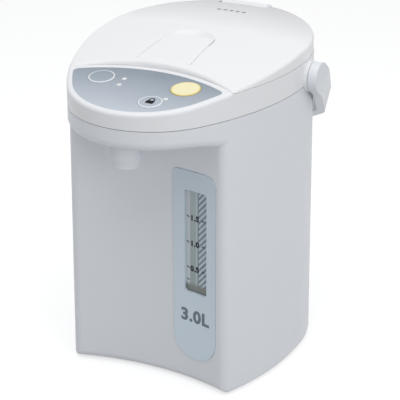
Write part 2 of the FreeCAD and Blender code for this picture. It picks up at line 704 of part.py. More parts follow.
def make_lid_shell():
    form = lid_form(0.0, LID_BOTTOM)
    body = form.cut(lid_form(LID_WALL, LID_BOTTOM - 1.0))
    well = lever_plan(LEVER_GAP + WELL_WALL, WELL_FLOOR_Z - WELL_WALL, HIGH).fuse(
        bar(LEVER_BARREL + LEVER_GAP + WELL_WALL, LEVER_AXIS_Y, LEVER_AXIS_Z,
            -LEVER_FRONT_HALF - LEVER_GAP - WELL_WALL, LEVER_FRONT_HALF + LEVER_GAP + WELL_WALL))
    dish_z = dome_z(0.0, DISH_Y) + math.sqrt(DISH_RADIUS ** 2 - DISH_HALF ** 2)
    dish_back = Part.makeSphere(DISH_RADIUS + LID_WALL, V(0, DISH_Y, dish_z))
    dish = Part.makeSphere(DISH_RADIUS, V(0, DISH_Y, dish_z))
    boss_list = [post(LID_BOSS, x, y, LINER_FLOOR_Z + LINER_WALL + CLOSE, HIGH) for x, y in LID_SCREWS]
    ear_half = HUMP_HALF + HUMP_GAP + EAR_THICK
    ears = bar(HUMP_RADIUS + HUMP_GAP + EAR_WALL, HINGE_Y, HINGE_Z, -ear_half, ear_half)
    ears = ears.fuse(box(-ear_half, ear_half, HINGE_Y, HIGH, LID_BOTTOM, HIGH))
    latch_bay = box(-LATCH_HALF - 3.0, LATCH_HALF + 3.0, PANEL_ARC_Y + PANEL_ARC_RADIUS - 5.0,
                    PANEL_ARC_Y + PANEL_ARC_RADIUS + KEEPER_BAY, 0.0, LATCH_TOP + 2.6)
    added = [piece.common(form) for piece in [well, dish_back, ears] + boss_list]
    body = fuse([body] + added)
    cuts = [
        lever_plan(LEVER_GAP, WELL_FLOOR_Z, HIGH),
        bar(LEVER_BARREL + LEVER_GAP, LEVER_AXIS_Y, LEVER_AXIS_Z,
            -LEVER_FRONT_HALF - LEVER_GAP, LEVER_FRONT_HALF + LEVER_GAP),
        dish,
        box(-LEVER_ARM_HALF - 1.0, LEVER_ARM_HALF + 1.0, LEVER_AXIS_Y - 3.0, LEVER_AXIS_Y + 9.0, 270.0,
            LEVER_AXIS_Z),
        bar(LEVER_PIN_RADIUS + PIN_CLEAR, LEVER_AXIS_Y, LEVER_AXIS_Z, -LEVER_FRONT_HALF - WELL_WALL,
            LEVER_FRONT_HALF + WELL_WALL),
        hinge_block(HUMP_GAP, HUMP_HALF + HUMP_GAP),
        box(-HUMP_HALF - HUMP_GAP, HUMP_HALF + HUMP_GAP, HINGE_Y, HIGH, 0.0, HIGH),
        bar(HINGE_PIN_RADIUS + PIN_CLEAR, HINGE_Y, HINGE_Z, -ear_half - 1.0, ear_half + 1.0),
        latch_bay,
        box(-HALF_WIDTH / 2.0, HALF_WIDTH / 2.0, HINGE_Y, HIGH, 0.0, HINGE_Z).cut(
            bar(HINGE_Z - LID_BOTTOM, HINGE_Y, HINGE_Z, -HALF_WIDTH, HALF_WIDTH)),
    ]
    for index in range(SLOT_COUNT):
        x = (index - (SLOT_COUNT - 1) / 2.0) * SLOT_PITCH
        cuts.append(box(x - SLOT_WIDTH / 2.0, x + SLOT_WIDTH / 2.0, SLOT_Y - SLOT_DEPTH / 2.0,
                        SLOT_Y + SLOT_DEPTH / 2.0, DOME_TOP - 3.0 * LID_WALL, HIGH))
    for x, y in LID_SCREWS:
        cuts.append(post(SCREW_RADIUS, x, y, LINER_FLOOR_Z, LINER_FLOOR_Z + SCREW_LENGTH + 1.0))
    return body.cut(cuts)


def make_lid_lever():
    skin = dome(0.0).cut(dome(LEVER_THICK))
    plate = lever_plan(0.0, WELL_FLOOR_Z, HIGH).common(skin)
    barrel = bar(LEVER_BARREL, LEVER_AXIS_Y, LEVER_AXIS_Z, -LEVER_FRONT_HALF, LEVER_FRONT_HALF)
    half = LEVER_ARM_THICK / 2.0
    arm = box(-LEVER_ARM_HALF, LEVER_ARM_HALF, LEVER_AXIS_Y - half, LEVER_AXIS_Y + half,
              LATCH_BOTTOM + 0.5, LEVER_AXIS_Z)
    body = fuse([plate, barrel, arm])
    return body.cut(bar(LEVER_PIN_RADIUS + PIN_CLEAR, LEVER_AXIS_Y, LEVER_AXIS_Z, -50.0, 50.0))


def make_lid_latch():
    body = box(-LATCH_HALF, LATCH_HALF, LATCH_TIP_Y, LATCH_TAIL_Y, LATCH_BOTTOM, LATCH_TOP)
    window = LEVER_ARM_HALF + 0.8
    body = body.cut(box(-window, window, LEVER_AXIS_Y - LATCH_WINDOW, LEVER_AXIS_Y + LATCH_WINDOW,
                        LATCH_BOTTOM - 1.0, LATCH_TOP + 1.0))
    ramp = flat([V(-LATCH_HALF, LATCH_TIP_Y, LATCH_BOTTOM), V(-LATCH_HALF, LATCH_TIP_Y + 2.0, LATCH_BOTTOM),
                 V(-LATCH_HALF, LATCH_TIP_Y, LATCH_TOP - 1.2)])
    return body.cut(ramp.extrude(V(2.0 * LATCH_HALF, 0, 0)))


def make_latch_spring():
    pitch = (SPRING_LENGTH - 2.0 * SPRING_WIRE) / SPRING_TURNS
    helix = Part.makeHelix(pitch, SPRING_LENGTH - 2.0 * SPRING_WIRE, SPRING_RADIUS)
    wire = Part.Wire(helix.Edges)
    circle = Part.Wire(Part.makeCircle(SPRING_WIRE, V(SPRING_RADIUS, 0, 0), V(0, 1, 0)))
    coil = Part.BRepOffsetAPI.MakePipeShell(wire)
    coil.setFrenetMode(True)
    coil.add(circle)
    coil.build()
    coil.makeSolid()
    spring = coil.shape()
    start = V(0, LATCH_TAIL_Y + CLOSE + SPRING_WIRE, LATCH_BOTTOM + SPRING_RADIUS + SPRING_WIRE)
    spring.Placement = FreeCAD.Placement(start, FreeCAD.Rotation(V(1, 0, 0), -90.0))
    return spring


def make_lid_liner():
    top = LID_BOTTOM - CLOSE
    outer = behind_panel(plan_prism(WALL + LINER_INSET, LINER_FLOOR_Z, top), LID_GAP + LINER_INSET)
    inner = behind_panel(plan_prism(WALL + LINER_INSET + LINER_WALL, LINER_FLOOR_Z + LINER_WALL, top + 1.0),
                         LID_GAP + LINER_INSET + LINER_WALL)
    plug = post(PLUG_RADIUS, 0, VESSEL_Y, LINER_FLOOR_Z - PLUG_DEPTH, LINER_FLOOR_Z + LINER_WALL)
    plug_hollow = post(PLUG_RADIUS - LINER_WALL, 0, VESSEL_Y, LINER_FLOOR_Z - PLUG_DEPTH + LINER_WALL,
                       LINER_FLOOR_Z + LINER_WALL + 1.0)
    stop_y = LATCH_TAIL_Y + SPRING_LENGTH + 2.0 * CLOSE
    guides = [box(side * (LATCH_HALF + CLOSE + 1.0) - 1.0, side * (LATCH_HALF + CLOSE + 1.0) + 1.0,
                  LATCH_TIP_Y + 6.0, stop_y, LINER_FLOOR_Z + 0.5, LATCH_BOTTOM + 2.0)
              for side in (-1.0, 1.0)]
    stop = box(-LATCH_HALF - LINER_WALL, LATCH_HALF + LINER_WALL, stop_y, stop_y + LINER_WALL,
               LINER_FLOOR_Z + 0.5, WELL_FLOOR_Z - WELL_WALL - CLOSE)
    bed = box(-LATCH_HALF - LINER_WALL, LATCH_HALF + LINER_WALL, LATCH_TIP_Y + 6.0, stop_y + LINER_WALL,
              LINER_FLOOR_Z, LATCH_BOTTOM - CLOSE)
    body = fuse([outer.cut(inner), plug]).cut(plug_hollow)
    body = fuse([body, stop, bed] + guides)
    bay = box(-LATCH_HALF - 3.0, LATCH_HALF + 3.0, PANEL_ARC_Y + PANEL_ARC_RADIUS - 5.0,
              PANEL_ARC_Y + PANEL_ARC_RADIUS + KEEPER_BAY, LINER_FLOOR_Z - 1.0, HIGH)
    back = box(-LATCH_HALF - 3.0, LATCH_HALF + 3.0, PANEL_ARC_Y + PANEL_ARC_RADIUS + KEEPER_BAY,
               PANEL_ARC_Y + PANEL_ARC_RADIUS + KEEPER_BAY + LINER_WALL, LINER_FLOOR_Z, LATCH_BOTTOM - CLOSE)
    way = box(-LATCH_HALF - CLOSE, LATCH_HALF + CLOSE, PANEL_ARC_Y + PANEL_ARC_RADIUS, LATCH_TIP_Y + 6.0,
              LATCH_BOTTOM - CLOSE, HIGH)
    body = body.cut(bay).fuse(back).cut(way)
    body = body.cut([hinge_block(HUMP_GAP, HUMP_HALF + HUMP_GAP + EAR_THICK),
                     box(-HUMP_HALF - 6.0, HUMP_HALF + 6.0, HINGE_Y - 2.0, HIGH, RIM_Z - 1.0, HIGH)])
    groove = ring(FLANGE_RADIUS + CLOSE, FLANGE_RADIUS - SEAL_WIDTH - CLOSE, 0, VESSEL_Y, LINER_FLOOR_Z - 1.0,
                  FLANGE_TOP + SEAL_CLEAR + SEAL_THICK)
    body = body.cut(groove)
    for x, y in LID_SCREWS:
        body = body.cut(post(SCREW_RADIUS + CLOSE, x, y, LINER_FLOOR_Z - 10.0, LINER_FLOOR_Z + LINER_WALL + 1.0))
    body = body.cut(post(CAP_NECK + CLOSE, 0, SLOT_Y - CAP_SETBACK, LINER_FLOOR_Z - 2.0 * PLUG_DEPTH, HIGH))
    return body.removeSplitter()


def make_lid_seal():
    return ring(FLANGE_RADIUS, FLANGE_RADIUS - SEAL_WIDTH, 0, VESSEL_Y, FLANGE_TOP + SEAL_CLEAR,
                FLANGE_TOP + SEAL_CLEAR + SEAL_THICK)


def make_steam_cap():
    y = SLOT_Y - CAP_SETBACK
    bottom = LINER_FLOOR_Z - PLUG_DEPTH
    body = fuse([post(CAP_RADIUS, 0, y, bottom - CAP_HEIGHT, bottom - CLOSE),
                 post(CAP_NECK, 0, y, bottom - CAP_HEIGHT, bottom + LINER_WALL)])
    body = body.cut(post(CAP_NECK_BORE, 0, y, bottom - CAP_HEIGHT + CAP_FLOOR, HIGH))
    for index in range(CAP_HOLE_COUNT):
        angle = 2.0 * math.pi * index / CAP_HOLE_COUNT
        body = body.cut(post(CAP_HOLE, CAP_HOLE_RING * math.cos(angle), y + CAP_HOLE_RING * math.sin(angle),
                             bottom - 2.0 * CAP_HEIGHT, bottom))
    return body


def duct_form(inset, low):
    """Steam duct's outline: straight over the cap, round under the slots."""
    y = SLOT_Y - DUCT_SETBACK
    half = DUCT_RADIUS - inset
    front = SLOT_Y - CAP_SETBACK - CAP_RADIUS - DUCT_WALL + inset
    return box(-half, half, front, y, low, HIGH).fuse(post(half, 0, y, low, HIGH))


def make_steam_duct():
    low = LINER_FLOOR_Z - PLUG_DEPTH + LINER_WALL + CLOSE
    floor = LINER_FLOOR_Z + LINER_WALL + CLOSE
    walls = duct_form(0.0, low).cut(duct_form(DUCT_WALL, low - 1.0)).common(dome(LID_WALL + CLOSE))
    sunk = post(PLUG_RADIUS - LINER_WALL - CLOSE, 0, VESSEL_Y, low - 1.0, HIGH)
    return walls.cut(post(HALF_WIDTH, 0, VESSEL_Y, low - 1.0, floor).cut(sunk))


def screw(x, y, seat):
    """Pan-head screw from below, whose head is seated at the given height."""
    head = post(SCREW_HEAD_RADIUS, x, y, seat - SCREW_HEAD_HEIGHT, seat)
    shank = post(SCREW_RADIUS - CLOSE / 2.0, x, y, seat - 0.1, seat + SCREW_LENGTH)
    long = SCREW_SLOT_HALF
    thin = SCREW_SLOT_WIDTH / 2.0
    low = seat - 2.0 * SCREW_HEAD_HEIGHT
    high = seat - SCREW_HEAD_HEIGHT / 2.0
    cross = box(x - long, x + long, y - thin, y + thin, low, high).fuse(
        box(x - thin, x + thin, y - long, y + long, low, high))
    return fuse([head, shank]).cut(cross)


def make_vessel():
    outer_points = [
        V(0, 0, VESSEL_BOTTOM), V(VESSEL_OUTER, 0, VESSEL_BOTTOM), V(VESSEL_OUTER, 0, VESSEL_SHOULDER_Z),
        V(MOUTH_RADIUS + VESSEL_WALL, 0, NECK_Z), V(MOUTH_RADIUS + VESSEL_WALL, 0, FLANGE_BOTTOM),
        V(FLANGE_RADIUS, 0, FLANGE_BOTTOM), V(FLANGE_RADIUS, 0, FLANGE_TOP), V(MOUTH_RADIUS, 0, FLANGE_TOP),
        V(MOUTH_RADIUS, 0, NECK_Z), V(VESSEL_RADIUS, 0, VESSEL_SHOULDER_Z), V(VESSEL_RADIUS, 0, VESSEL_FLOOR_Z),
        V(0, 0, VESSEL_FLOOR_Z)]
    body = flat(outer_points).revolve(V(0, 0, 0), V(0, 0, 1), 360.0)
    body.translate(V(0, VESSEL_Y, 0))
    body = fuse([body, post(SPIGOT_RADIUS, PUMP_X, PUMP_Y, VESSEL_BOTTOM - SPIGOT_LENGTH, VESSEL_FLOOR_Z)])
    return body.cut(post(SPIGOT_RADIUS - VESSEL_WALL - 0.6, PUMP_X, PUMP_Y, 0.0, VESSEL_FLOOR_Z + 1.0))


def cover_outline(grow):
    """Gauge cover's outline seen from the front, rounded off at its foot."""
    left = COVER_LEFT - grow
    right = COVER_RIGHT + grow
    top = COVER_TOP + grow
    radius = (right - left) / 2.0
    low = COVER_BOTTOM - grow + radius
    small = COVER_LEFT_CORNER
    large = COVER_RIGHT_CORNER
    near = 1.0 - math.sqrt(0.5)
    y = RECESS_CENTRE_Y
    edges = [
        Part.makeLine(V(left, y, low), V(left, y, top - small)),
        arc(V(left, y, top - small), V(left + near * small, y, top - near * small), V(left + small, y, top)),
        Part.makeLine(V(left + small, y, top), V(right - large, y, top)),
        arc(V(right - large, y, top), V(right - near * large, y, top - near * large), V(right, y, top - large)),
        Part.makeLine(V(right, y, top - large), V(right, y, low)),
        arc(V(right, y, low), V(left + radius, y, low - radius), V(left, y, low)),
    ]
    return Part.Face(Part.Wire(edges))


def window_outline(grow):
    left = WINDOW_LEFT - grow
    right = WINDOW_RIGHT + grow
    low = WINDOW_BOTTOM - grow
    top = WINDOW_TOP + grow
    form = box(left, right, RECESS_CENTRE_Y, RECESS_CENTRE_Y + 1.0, low, top)
    corners = [edge for edge in form.Edges if abs(edge.tangentAt(edge.FirstParameter).y) > 0.99]
    form = form.makeFillet(WINDOW_CORNER, corners)
    return min(form.Faces, key=lambda face: face.CenterOfMass.y)


def gauge_shell(outline, low, high):
    """Curved plate that follows the recess wall; depths count into the casing."""
    plate = outline.extrude(V(0, RECESS_RADIUS * 1.5, 0))
    bottom = COVER_BOTTOM - 20.0
    top = COVER_TOP + 20.0
    wall = post(RECESS_RADIUS + high, 0, RECESS_CENTRE_Y, bottom, top).cut(
        post(RECESS_RADIUS + low, 0, RECESS_CENTRE_Y, bottom - 1.0, top + 1.0))
    return plate.common(wall)


def make_gauge_cover():
    plate = gauge_shell(cover_outline(0.0), -COVER_PROUD, COVER_SUNK)
    return plate.cut(gauge_shell(window_outline(0.0), -COVER_PROUD - 1.0, COVER_SUNK + 1.0))


def make_gauge_window():
    low = COVER_SUNK + CLOSE / 2.0
    return gauge_shell(window_outline(WINDOW_FLANGE), low, low + WINDOW_THICK)


def wall_y(x, depth):
    return RECESS_CENTRE_Y + math.sqrt((RECESS_RADIUS + depth) ** 2 - x ** 2)


def make_gauge_backing():
    left = WINDOW_LEFT - WINDOW_FLANGE - 2.0
    right = WINDOW_RIGHT + WINDOW_FLANGE + 2.0
    low = WINDOW_BOTTOM - WINDOW_FLANGE - 2.0
    top = WINDOW_TOP + WINDOW_FLANGE + 2.0
    front = wall_y(right, 0.0) - 1.0
    body = box(left, right, front, BACKING_Y + BACKING_THICK, low, top)
    body = body.cut(box(left + BACKING_THICK, right - BACKING_THICK, front - 1.0, BACKING_Y,
                        low + BACKING_THICK, top - BACKING_THICK))
    body = body.cut(post(RECESS_RADIUS + WALL + CLOSE, 0, RECESS_CENTRE_Y, low - 1.0, top + 1.0))
    window = gauge_shell(window_outline(WINDOW_FLANGE + CLOSE), -5.0, COVER_SUNK + WINDOW_THICK + CLOSE)
    body = body.cut(window)
    body = body.cut(post(GLASS_RADIUS + CLOSE, GLASS_X, GLASS_Y, low - 1.0, top + 1.0))
    return body


def make_gauge_tube():
    return ring(GLASS_RADIUS, GLASS_BORE, GLASS_X, GLASS_Y, GLASS_BOTTOM, GLASS_TOP)


def pipe_run(points, outer, bore):
    """Pipe along straight runs with ball corners; both ends are open."""
    solid = []
    hole = []
    for start, end in zip(points, points[1:]):
        solid.append(rod(outer, start, end))
        hole.append(rod(bore, start, end))
    for corner in points[1:-1]:
        solid.append(Part.makeSphere(outer, corner))
        hole.append(Part.makeSphere(bore, corner))
    return solid, hole


def make_outlet_pipe():
    sleeve_bottom = GLASS_TOP - 10.0
    points = [V(GLASS_X, GLASS_Y, GLASS_TOP), V(GLASS_X, GLASS_Y, PIPE_Z),
              V(0, SPOUT_Y, PIPE_Z), V(0, SPOUT_Y, SPOUT_PIPE_END)]
    solid, hole = pipe_run(points, PIPE_RADIUS, PIPE_BORE)
    solid.append(post(GLASS_RADIUS + PIPE_CLEAR + PIPE_SLEEVE, GLASS_X, GLASS_Y, sleeve_bottom, GLASS_TOP + 2.0))
    solid.append(post(VALVE_RADIUS, GLASS_X, GLASS_Y, PIPE_Z - VALVE_HEIGHT + 3.0,
                      PIPE_Z + PIPE_RADIUS + VALVE_CAP))
    hole.append(post(GLASS_RADIUS + PIPE_CLEAR, GLASS_X, GLASS_Y, sleeve_bottom - 1.0, GLASS_TOP + CLOSE))
    chamber = post(VALVE_RADIUS - VALVE_WALL, GLASS_X, GLASS_Y, PIPE_Z - VALVE_HEIGHT + 5.0, PIPE_Z + PIPE_RADIUS - 1.5)
    return fuse(solid).cut(hole + [chamber])


def make_valve_ball():
    seat = PIPE_Z - VALVE_HEIGHT + 5.0
    rise = math.sqrt(BALL_RADIUS ** 2 - PIPE_BORE ** 2) + PIN_CLEAR
    return Part.makeSphere(BALL_RADIUS, V(GLASS_X, GLASS_Y, seat + rise))


def make_lower_elbow():
    exit_z = (PUMP_TOP_Z + PUMP_BOTTOM_Z) / 2.0
    points = [V(GLASS_X, GLASS_Y, GLASS_BOTTOM), V(GLASS_X, GLASS_Y, exit_z), outlet_end()]
    solid, hole = pipe_run(points, PIPE_RADIUS + 0.6, PIPE_BORE)
    solid.append(post(GLASS_RADIUS + PIPE_CLEAR + PIPE_SLEEVE, GLASS_X, GLASS_Y, GLASS_BOTTOM - 2.0,
                      GLASS_BOTTOM + 5.0))
    hole.append(post(GLASS_RADIUS + PIPE_CLEAR, GLASS_X, GLASS_Y, GLASS_BOTTOM - CLOSE, GLASS_BOTTOM + 6.0))
    return fuse(solid).cut(hole)


def outlet_direction():
    way = V(GLASS_X - PUMP_X, GLASS_Y - PUMP_Y, 0)
    way.normalize()
    return way


def outlet_end():
    """Where the pump's outlet stub meets the elbow."""
    exit_z = (PUMP_TOP_Z + PUMP_BOTTOM_Z) / 2.0
    return V(PUMP_X, PUMP_Y, exit_z).add(outlet_direction().multiply(PUMP_RADIUS + 8.0))


def make_pump_housing():
    exit_z = (PUMP_TOP_Z + PUMP_BOTTOM_Z) / 2.0
    centre = V(PUMP_X, PUMP_Y, exit_z)
    stub_end = outlet_end().sub(outlet_direction().multiply(CLOSE))
    body = fuse([post(PUMP_RADIUS, PUMP_X, PUMP_Y, PUMP_BOTTOM_Z, PUMP_TOP_Z),
                 rod(PIPE_RADIUS, centre, stub_end),
                 post(SPIGOT_RADIUS, PUMP_X, PUMP_Y, PUMP_TOP_Z - 1.0, PUMP_TOP_Z + 6.0)])
    hollow = post(PUMP_RADIUS - PUMP_WALL, PUMP_X, PUMP_Y, PUMP_BOTTOM_Z - 1.0, PUMP_TOP_Z - PUMP_WALL)
    inlet = post(SPIGOT_RADIUS - 1.8, PUMP_X, PUMP_Y, PUMP_TOP_Z - 3.0, PUMP_TOP_Z + 7.0)
    legs = []
    for x, y in pump_legs():
        legs.append(post(3.0, x, y, PLATE_TOP, PUMP_BOTTOM_Z + 3.0))
        legs.append(rod(3.0, V(x, y, PUMP_BOTTOM_Z + 3.0), V(PUMP_X, PUMP_Y, PUMP_BOTTOM_Z + 3.0)))
    legs = fuse(legs).cut(post(PUMP_RADIUS - PUMP_WALL, PUMP_X, PUMP_Y, 0.0, PUMP_TOP_Z))
    return fuse([body, legs]).cut([hollow, inlet, rod(PIPE_BORE, centre, stub_end)])


def pump_legs():
    """Feet of the pump housing on the base plate, clear of the motor and the elbow."""
    reach = PUMP_RADIUS + 2.0
    return [(PUMP_X + reach * math.cos(math.radians(angle)), PUMP_Y + reach * math.sin(math.radians(angle)))
            for angle in (40.0, 140.0, 240.0)]


def make_pump_cover():
    bottom = PUMP_BOTTOM_Z
    plate = post(PUMP_RADIUS - PUMP_WALL - PIPE_CLEAR, PUMP_X, PUMP_Y, bottom, bottom + PUMP_COVER_THICK)
    pin = post(1.5, PUMP_X, PUMP_Y, bottom, bottom + PUMP_COVER_THICK + 6.0)
    return fuse([plate, pin])


def make_impeller():
    low = PUMP_BOTTOM_Z + PUMP_COVER_THICK + IMPELLER_CLEAR
    body = [ring(IMPELLER_RADIUS, 1.5 + PIN_CLEAR, PUMP_X, PUMP_Y, low, low + 3.0),
            ring(4.0, 1.5 + PIN_CLEAR, PUMP_X, PUMP_Y, low, low + 9.0)]
    for index in range(IMPELLER_BLADES):
        blade = box(3.0, IMPELLER_RADIUS - 0.5, -0.7, 0.7, low, low + 8.0)
        blade.rotate(V(0, 0, 0), V(0, 0, 1), 360.0 * index / IMPELLER_BLADES)
        blade.translate(V(PUMP_X, PUMP_Y, 0))
        body.append(blade)
    return fuse(body).cut(post(1.5 + PIN_CLEAR, PUMP_X, PUMP_Y, low - 1.0, low + 10.0))


def make_drive_rotor():
    top = PUMP_BOTTOM_Z - 0.6
    disc = post(ROTOR_RADIUS, PUMP_X, PUMP_Y, top - ROTOR_THICK, top)
    notch = [post(2.0, PUMP_X + 8.0 * math.cos(math.radians(a)), PUMP_Y + 8.0 * math.sin(math.radians(a)),
                  top - 1.0, top + 1.0) for a in (0.0, 90.0, 180.0, 270.0)]
    shaft = post(SHAFT_RADIUS, PUMP_X, PUMP_Y, PLATE_TOP + 6.0, top - 0.5)
    return fuse([disc.cut(notch), shaft])


def make_pump_motor():
    top = PLATE_TOP + 2.0 + MOTOR_HEIGHT
    body = fuse([post(MOTOR_RADIUS, PUMP_X, PUMP_Y, PLATE_TOP, top),
                 post(5.0, PUMP_X, PUMP_Y, top - 1.0, top + 2.5)])
    return body.cut(post(SHAFT_RADIUS + PIN_CLEAR, PUMP_X, PUMP_Y, PLATE_TOP + 5.0, top + 4.0))


def make_pump_inlet():
    low = PUMP_TOP_Z + CLOSE
    high = VESSEL_BOTTOM - CLOSE
    body = post(SPIGOT_RADIUS + 2.2, PUMP_X, PUMP_Y, low, high)
    body = body.cut(post(SPIGOT_RADIUS + PIPE_CLEAR, PUMP_X, PUMP_Y, VESSEL_BOTTOM - SPIGOT_LENGTH - CLOSE, high + 1.0))
    body = body.cut(post(SPIGOT_RADIUS + PIPE_CLEAR, PUMP_X, PUMP_Y, low - 1.0, PUMP_TOP_Z + 6.0 + CLOSE))
    return body.cut(post(SPIGOT_RADIUS - 1.8, PUMP_X, PUMP_Y, low - 1.0, high + 1.0))


def make_bottom_heater():
    top = VESSEL_BOTTOM - CLOSE
    return ring(HEATER_RADIUS, HEATER_HOLE, 0, VESSEL_Y, top - HEATER_THICK, top)


def make_thermistor():
    top = VESSEL_BOTTOM - CLOSE
    cup = post(SENSOR_RADIUS, 0, VESSEL_Y, top - SENSOR_HEIGHT, top)
    collar = post(HEATER_HOLE + 2.0, 0, VESSEL_Y, top - HEATER_THICK - 1.6 - CLOSE, top - HEATER_THICK - CLOSE)
    return fuse([cup, collar])


def make_thermal_fuse():
    length, width, height = FUSE_SIZE
    top = VESSEL_BOTTOM - 2.0 * CLOSE - HEATER_THICK
    return box(-30.0, -30.0 + length, VESSEL_Y - width / 2.0, VESSEL_Y + width / 2.0, top - height, top)


def make_band_heater():
    return ring(VESSEL_OUTER + CLOSE + BAND_THICK, VESSEL_OUTER + CLOSE, 0, VESSEL_Y, BAND_BOTTOM, BAND_TOP)


def make_spout_housing():
    top = CEILING_Z + WALL + CLOSE + SPOUT_FLANGE_THICK
    body = fuse([post(SPOUT_RADIUS, 0, SPOUT_Y, SPOUT_SHOULDER_Z, top),
                 post(SPOUT_RADIUS + SPOUT_FLANGE, 0, SPOUT_Y, CEILING_Z + WALL + CLOSE, top)])
    return body.cut(post(SPOUT_RADIUS - SPOUT_WALL, 0, SPOUT_Y, SPOUT_SHOULDER_Z - 1.0, top + 1.0))


def make_spout_tip():
    neck = SPOUT_RADIUS - SPOUT_WALL - PIPE_CLEAR
    body = fuse([post(SPOUT_TIP_RADIUS, 0, SPOUT_Y, SPOUT_TIP_Z, SPOUT_SHOULDER_Z - CLOSE),
                 post(neck, 0, SPOUT_Y, SPOUT_TIP_Z, SPOUT_SHOULDER_Z + NECK_LENGTH)])
    lower = [edge for edge in body.Edges if abs(edge.CenterOfMass.z - SPOUT_TIP_Z) < 0.01]
    body = body.makeFillet(1.5, lower)
    hollow = fuse([post(neck - SPOUT_WALL, 0, SPOUT_Y, SPOUT_TIP_Z - 1.0, SPOUT_TIP_Z + 5.0),
                   post(neck - SPOUT_WALL, 0, SPOUT_Y, SPOUT_TIP_Z + 7.0, SPOUT_SHOULDER_Z + NECK_LENGTH + 1.0)])
    body = body.cut(hollow)
    stub = post(NOZZLE_RADIUS + 1.6, 0, SPOUT_Y, SPOUT_TIP_Z + 2.0, PIPE_Z - PIPE_RADIUS - CLOSE)
    body = fuse([body, stub])
    return body.cut([post(NOZZLE_BORE, 0, SPOUT_Y, SPOUT_TIP_Z, PIPE_Z),
                     post(PIPE_RADIUS + PIPE_CLEAR, 0, SPOUT_Y, SPOUT_PIPE_END - CLOSE, PIPE_Z)])


def make_base_plate():
    body = foot_prism(FOOT_BAND + PLATE_CLEAR, FLOOR_GAP, PLATE_TOP)
    x0, x1, y0, y1 = BOARD_BOX
    studs = [post(3.0, x, y, PLATE_TOP - 0.5, BOARD_Z) for x in (x0 + 6.0, x1 - 6.0) for y in (y0 + 6.0, y1 - 6.0)]
    body = fuse([body] + studs)
    for x, y in FEET:
        body = body.cut(post(FOOT_RADIUS + CLOSE / 2.0, x, y, 0.0, FLOOR_GAP + FOOT_POCKET))
    for x, y in SCREW_SPOTS:
        body = body.cut(post(SCREW_RADIUS + CLOSE, x, y, 0.0, PLATE_TOP + 1.0))
        body = body.cut(post(SCREW_HEAD_RADIUS + CLOSE, x, y, 0.0, FLOOR_GAP + SCREW_HEAD_HEIGHT))
    return body


def make_rubber_feet():
    return [post(FOOT_RADIUS, x, y, 0.0, FLOOR_GAP + FOOT_POCKET) for x, y in FEET]


def make_power_board():
    x0, x1, y0, y1 = BOARD_BOX
    body = [box(x0, x1, y0, y1, BOARD_Z, BOARD_Z + BOARD_THICK)]
    body.append(box(x0 + 6.0, x0 + 22.0, y0 + 30.0, y0 + 44.0, BOARD_Z + 1.0, BOARD_Z + 15.0))
    body.append(post(5.0, x0 + 14.0, y0 + 16.0, BOARD_Z + 1.0, BOARD_Z + 18.0))
    body.append(post(4.0, x0 + 28.0, y0 + 14.0, BOARD_Z + 1.0, BOARD_Z + 12.0))
    return fuse(body)


def make_transformer():
    x0, x1, y0, y1 = BOARD_BOX
    length, width, height = TRANSFORMER
    low = BOARD_Z + BOARD_THICK
    core = box(x1 - length - 2.0, x1 - 2.0, y0 + 12.0, y0 + 12.0 + width, low, low + height)
    coil = box(x1 - length + 6.0, x1 - 10.0, y0 + 9.0, y0 + 15.0 + width, low + 4.0, low + height - 4.0)
    return fuse([core, coil])


def back_y(x, inset, z):
    """Back surface of the casing at a place and height, moved inwards by inset."""
    radius = HALF_WIDTH + spread(z) - inset
    return BACK_STRAIGHT + math.sqrt(radius ** 2 - x ** 2)


def make_inlet_socket():
    face = back_y(SOCKET_HALF, 0.0, SOCKET_BOTTOM + SOCKET_HEIGHT) - 0.3
    top = SOCKET_BOTTOM + SOCKET_HEIGHT
    body = box(-SOCKET_HALF, SOCKET_HALF, face - SOCKET_DEPTH, face, SOCKET_BOTTOM, top)
    lip_front = back_y(SOCKET_HALF + SOCKET_LIP, WALL, top) - CLOSE
    lip = box(-SOCKET_HALF - SOCKET_LIP, SOCKET_HALF + SOCKET_LIP, lip_front - 2.0, lip_front,
              SOCKET_BOTTOM - SOCKET_LIP, top + SOCKET_LIP)
    stand = box(-SOCKET_HALF + 2.0, SOCKET_HALF - 2.0, face - SOCKET_DEPTH, face - SOCKET_DEPTH + 4.0, PLATE_TOP,
                SOCKET_BOTTOM + 1.0)
    cavity = box(-SOCKET_HALF + SOCKET_WALL, SOCKET_HALF - SOCKET_WALL, face - SOCKET_CAVITY, face + 1.0,
                 SOCKET_BOTTOM + SOCKET_WALL, top - SOCKET_WALL)
    body = fuse([body, lip, stand]).cut(cavity)
    for side in (-1.0, 1.0):
        body = body.cut(Part.makeCylinder(PRONG_RADIUS + PIN_CLEAR, SOCKET_DEPTH, V(
            side * PRONG_PITCH, face - SOCKET_DEPTH - 1.0, SOCKET_BOTTOM + SOCKET_HEIGHT / 2.0), V(0, 1, 0)))
    return body


def make_inlet_pins():
    face = back_y(SOCKET_HALF, 0.0, SOCKET_BOTTOM + SOCKET_HEIGHT) - 0.3
    start = face - SOCKET_DEPTH - 4.0
    length = SOCKET_DEPTH + 4.0 - SOCKET_CAVITY + PRONG_LENGTH
    pins = []
    for side in (-1.0, 1.0):
        pins.append(Part.makeCylinder(PRONG_RADIUS, length, V(side * PRONG_PITCH, start,
                                                              SOCKET_BOTTOM + SOCKET_HEIGHT / 2.0), V(0, 1, 0)))
    return pins


def make_hinge_pin():
    half = HUMP_HALF + HUMP_GAP + EAR_THICK - 0.5
    return bar(HINGE_PIN_RADIUS, HINGE_Y, HINGE_Z, -half, half)


def make_lever_pin():
    half = LEVER_FRONT_HALF + WELL_WALL - 0.2
    return bar(LEVER_PIN_RADIUS, LEVER_AXIS_Y, LEVER_AXIS_Z, -half, half)


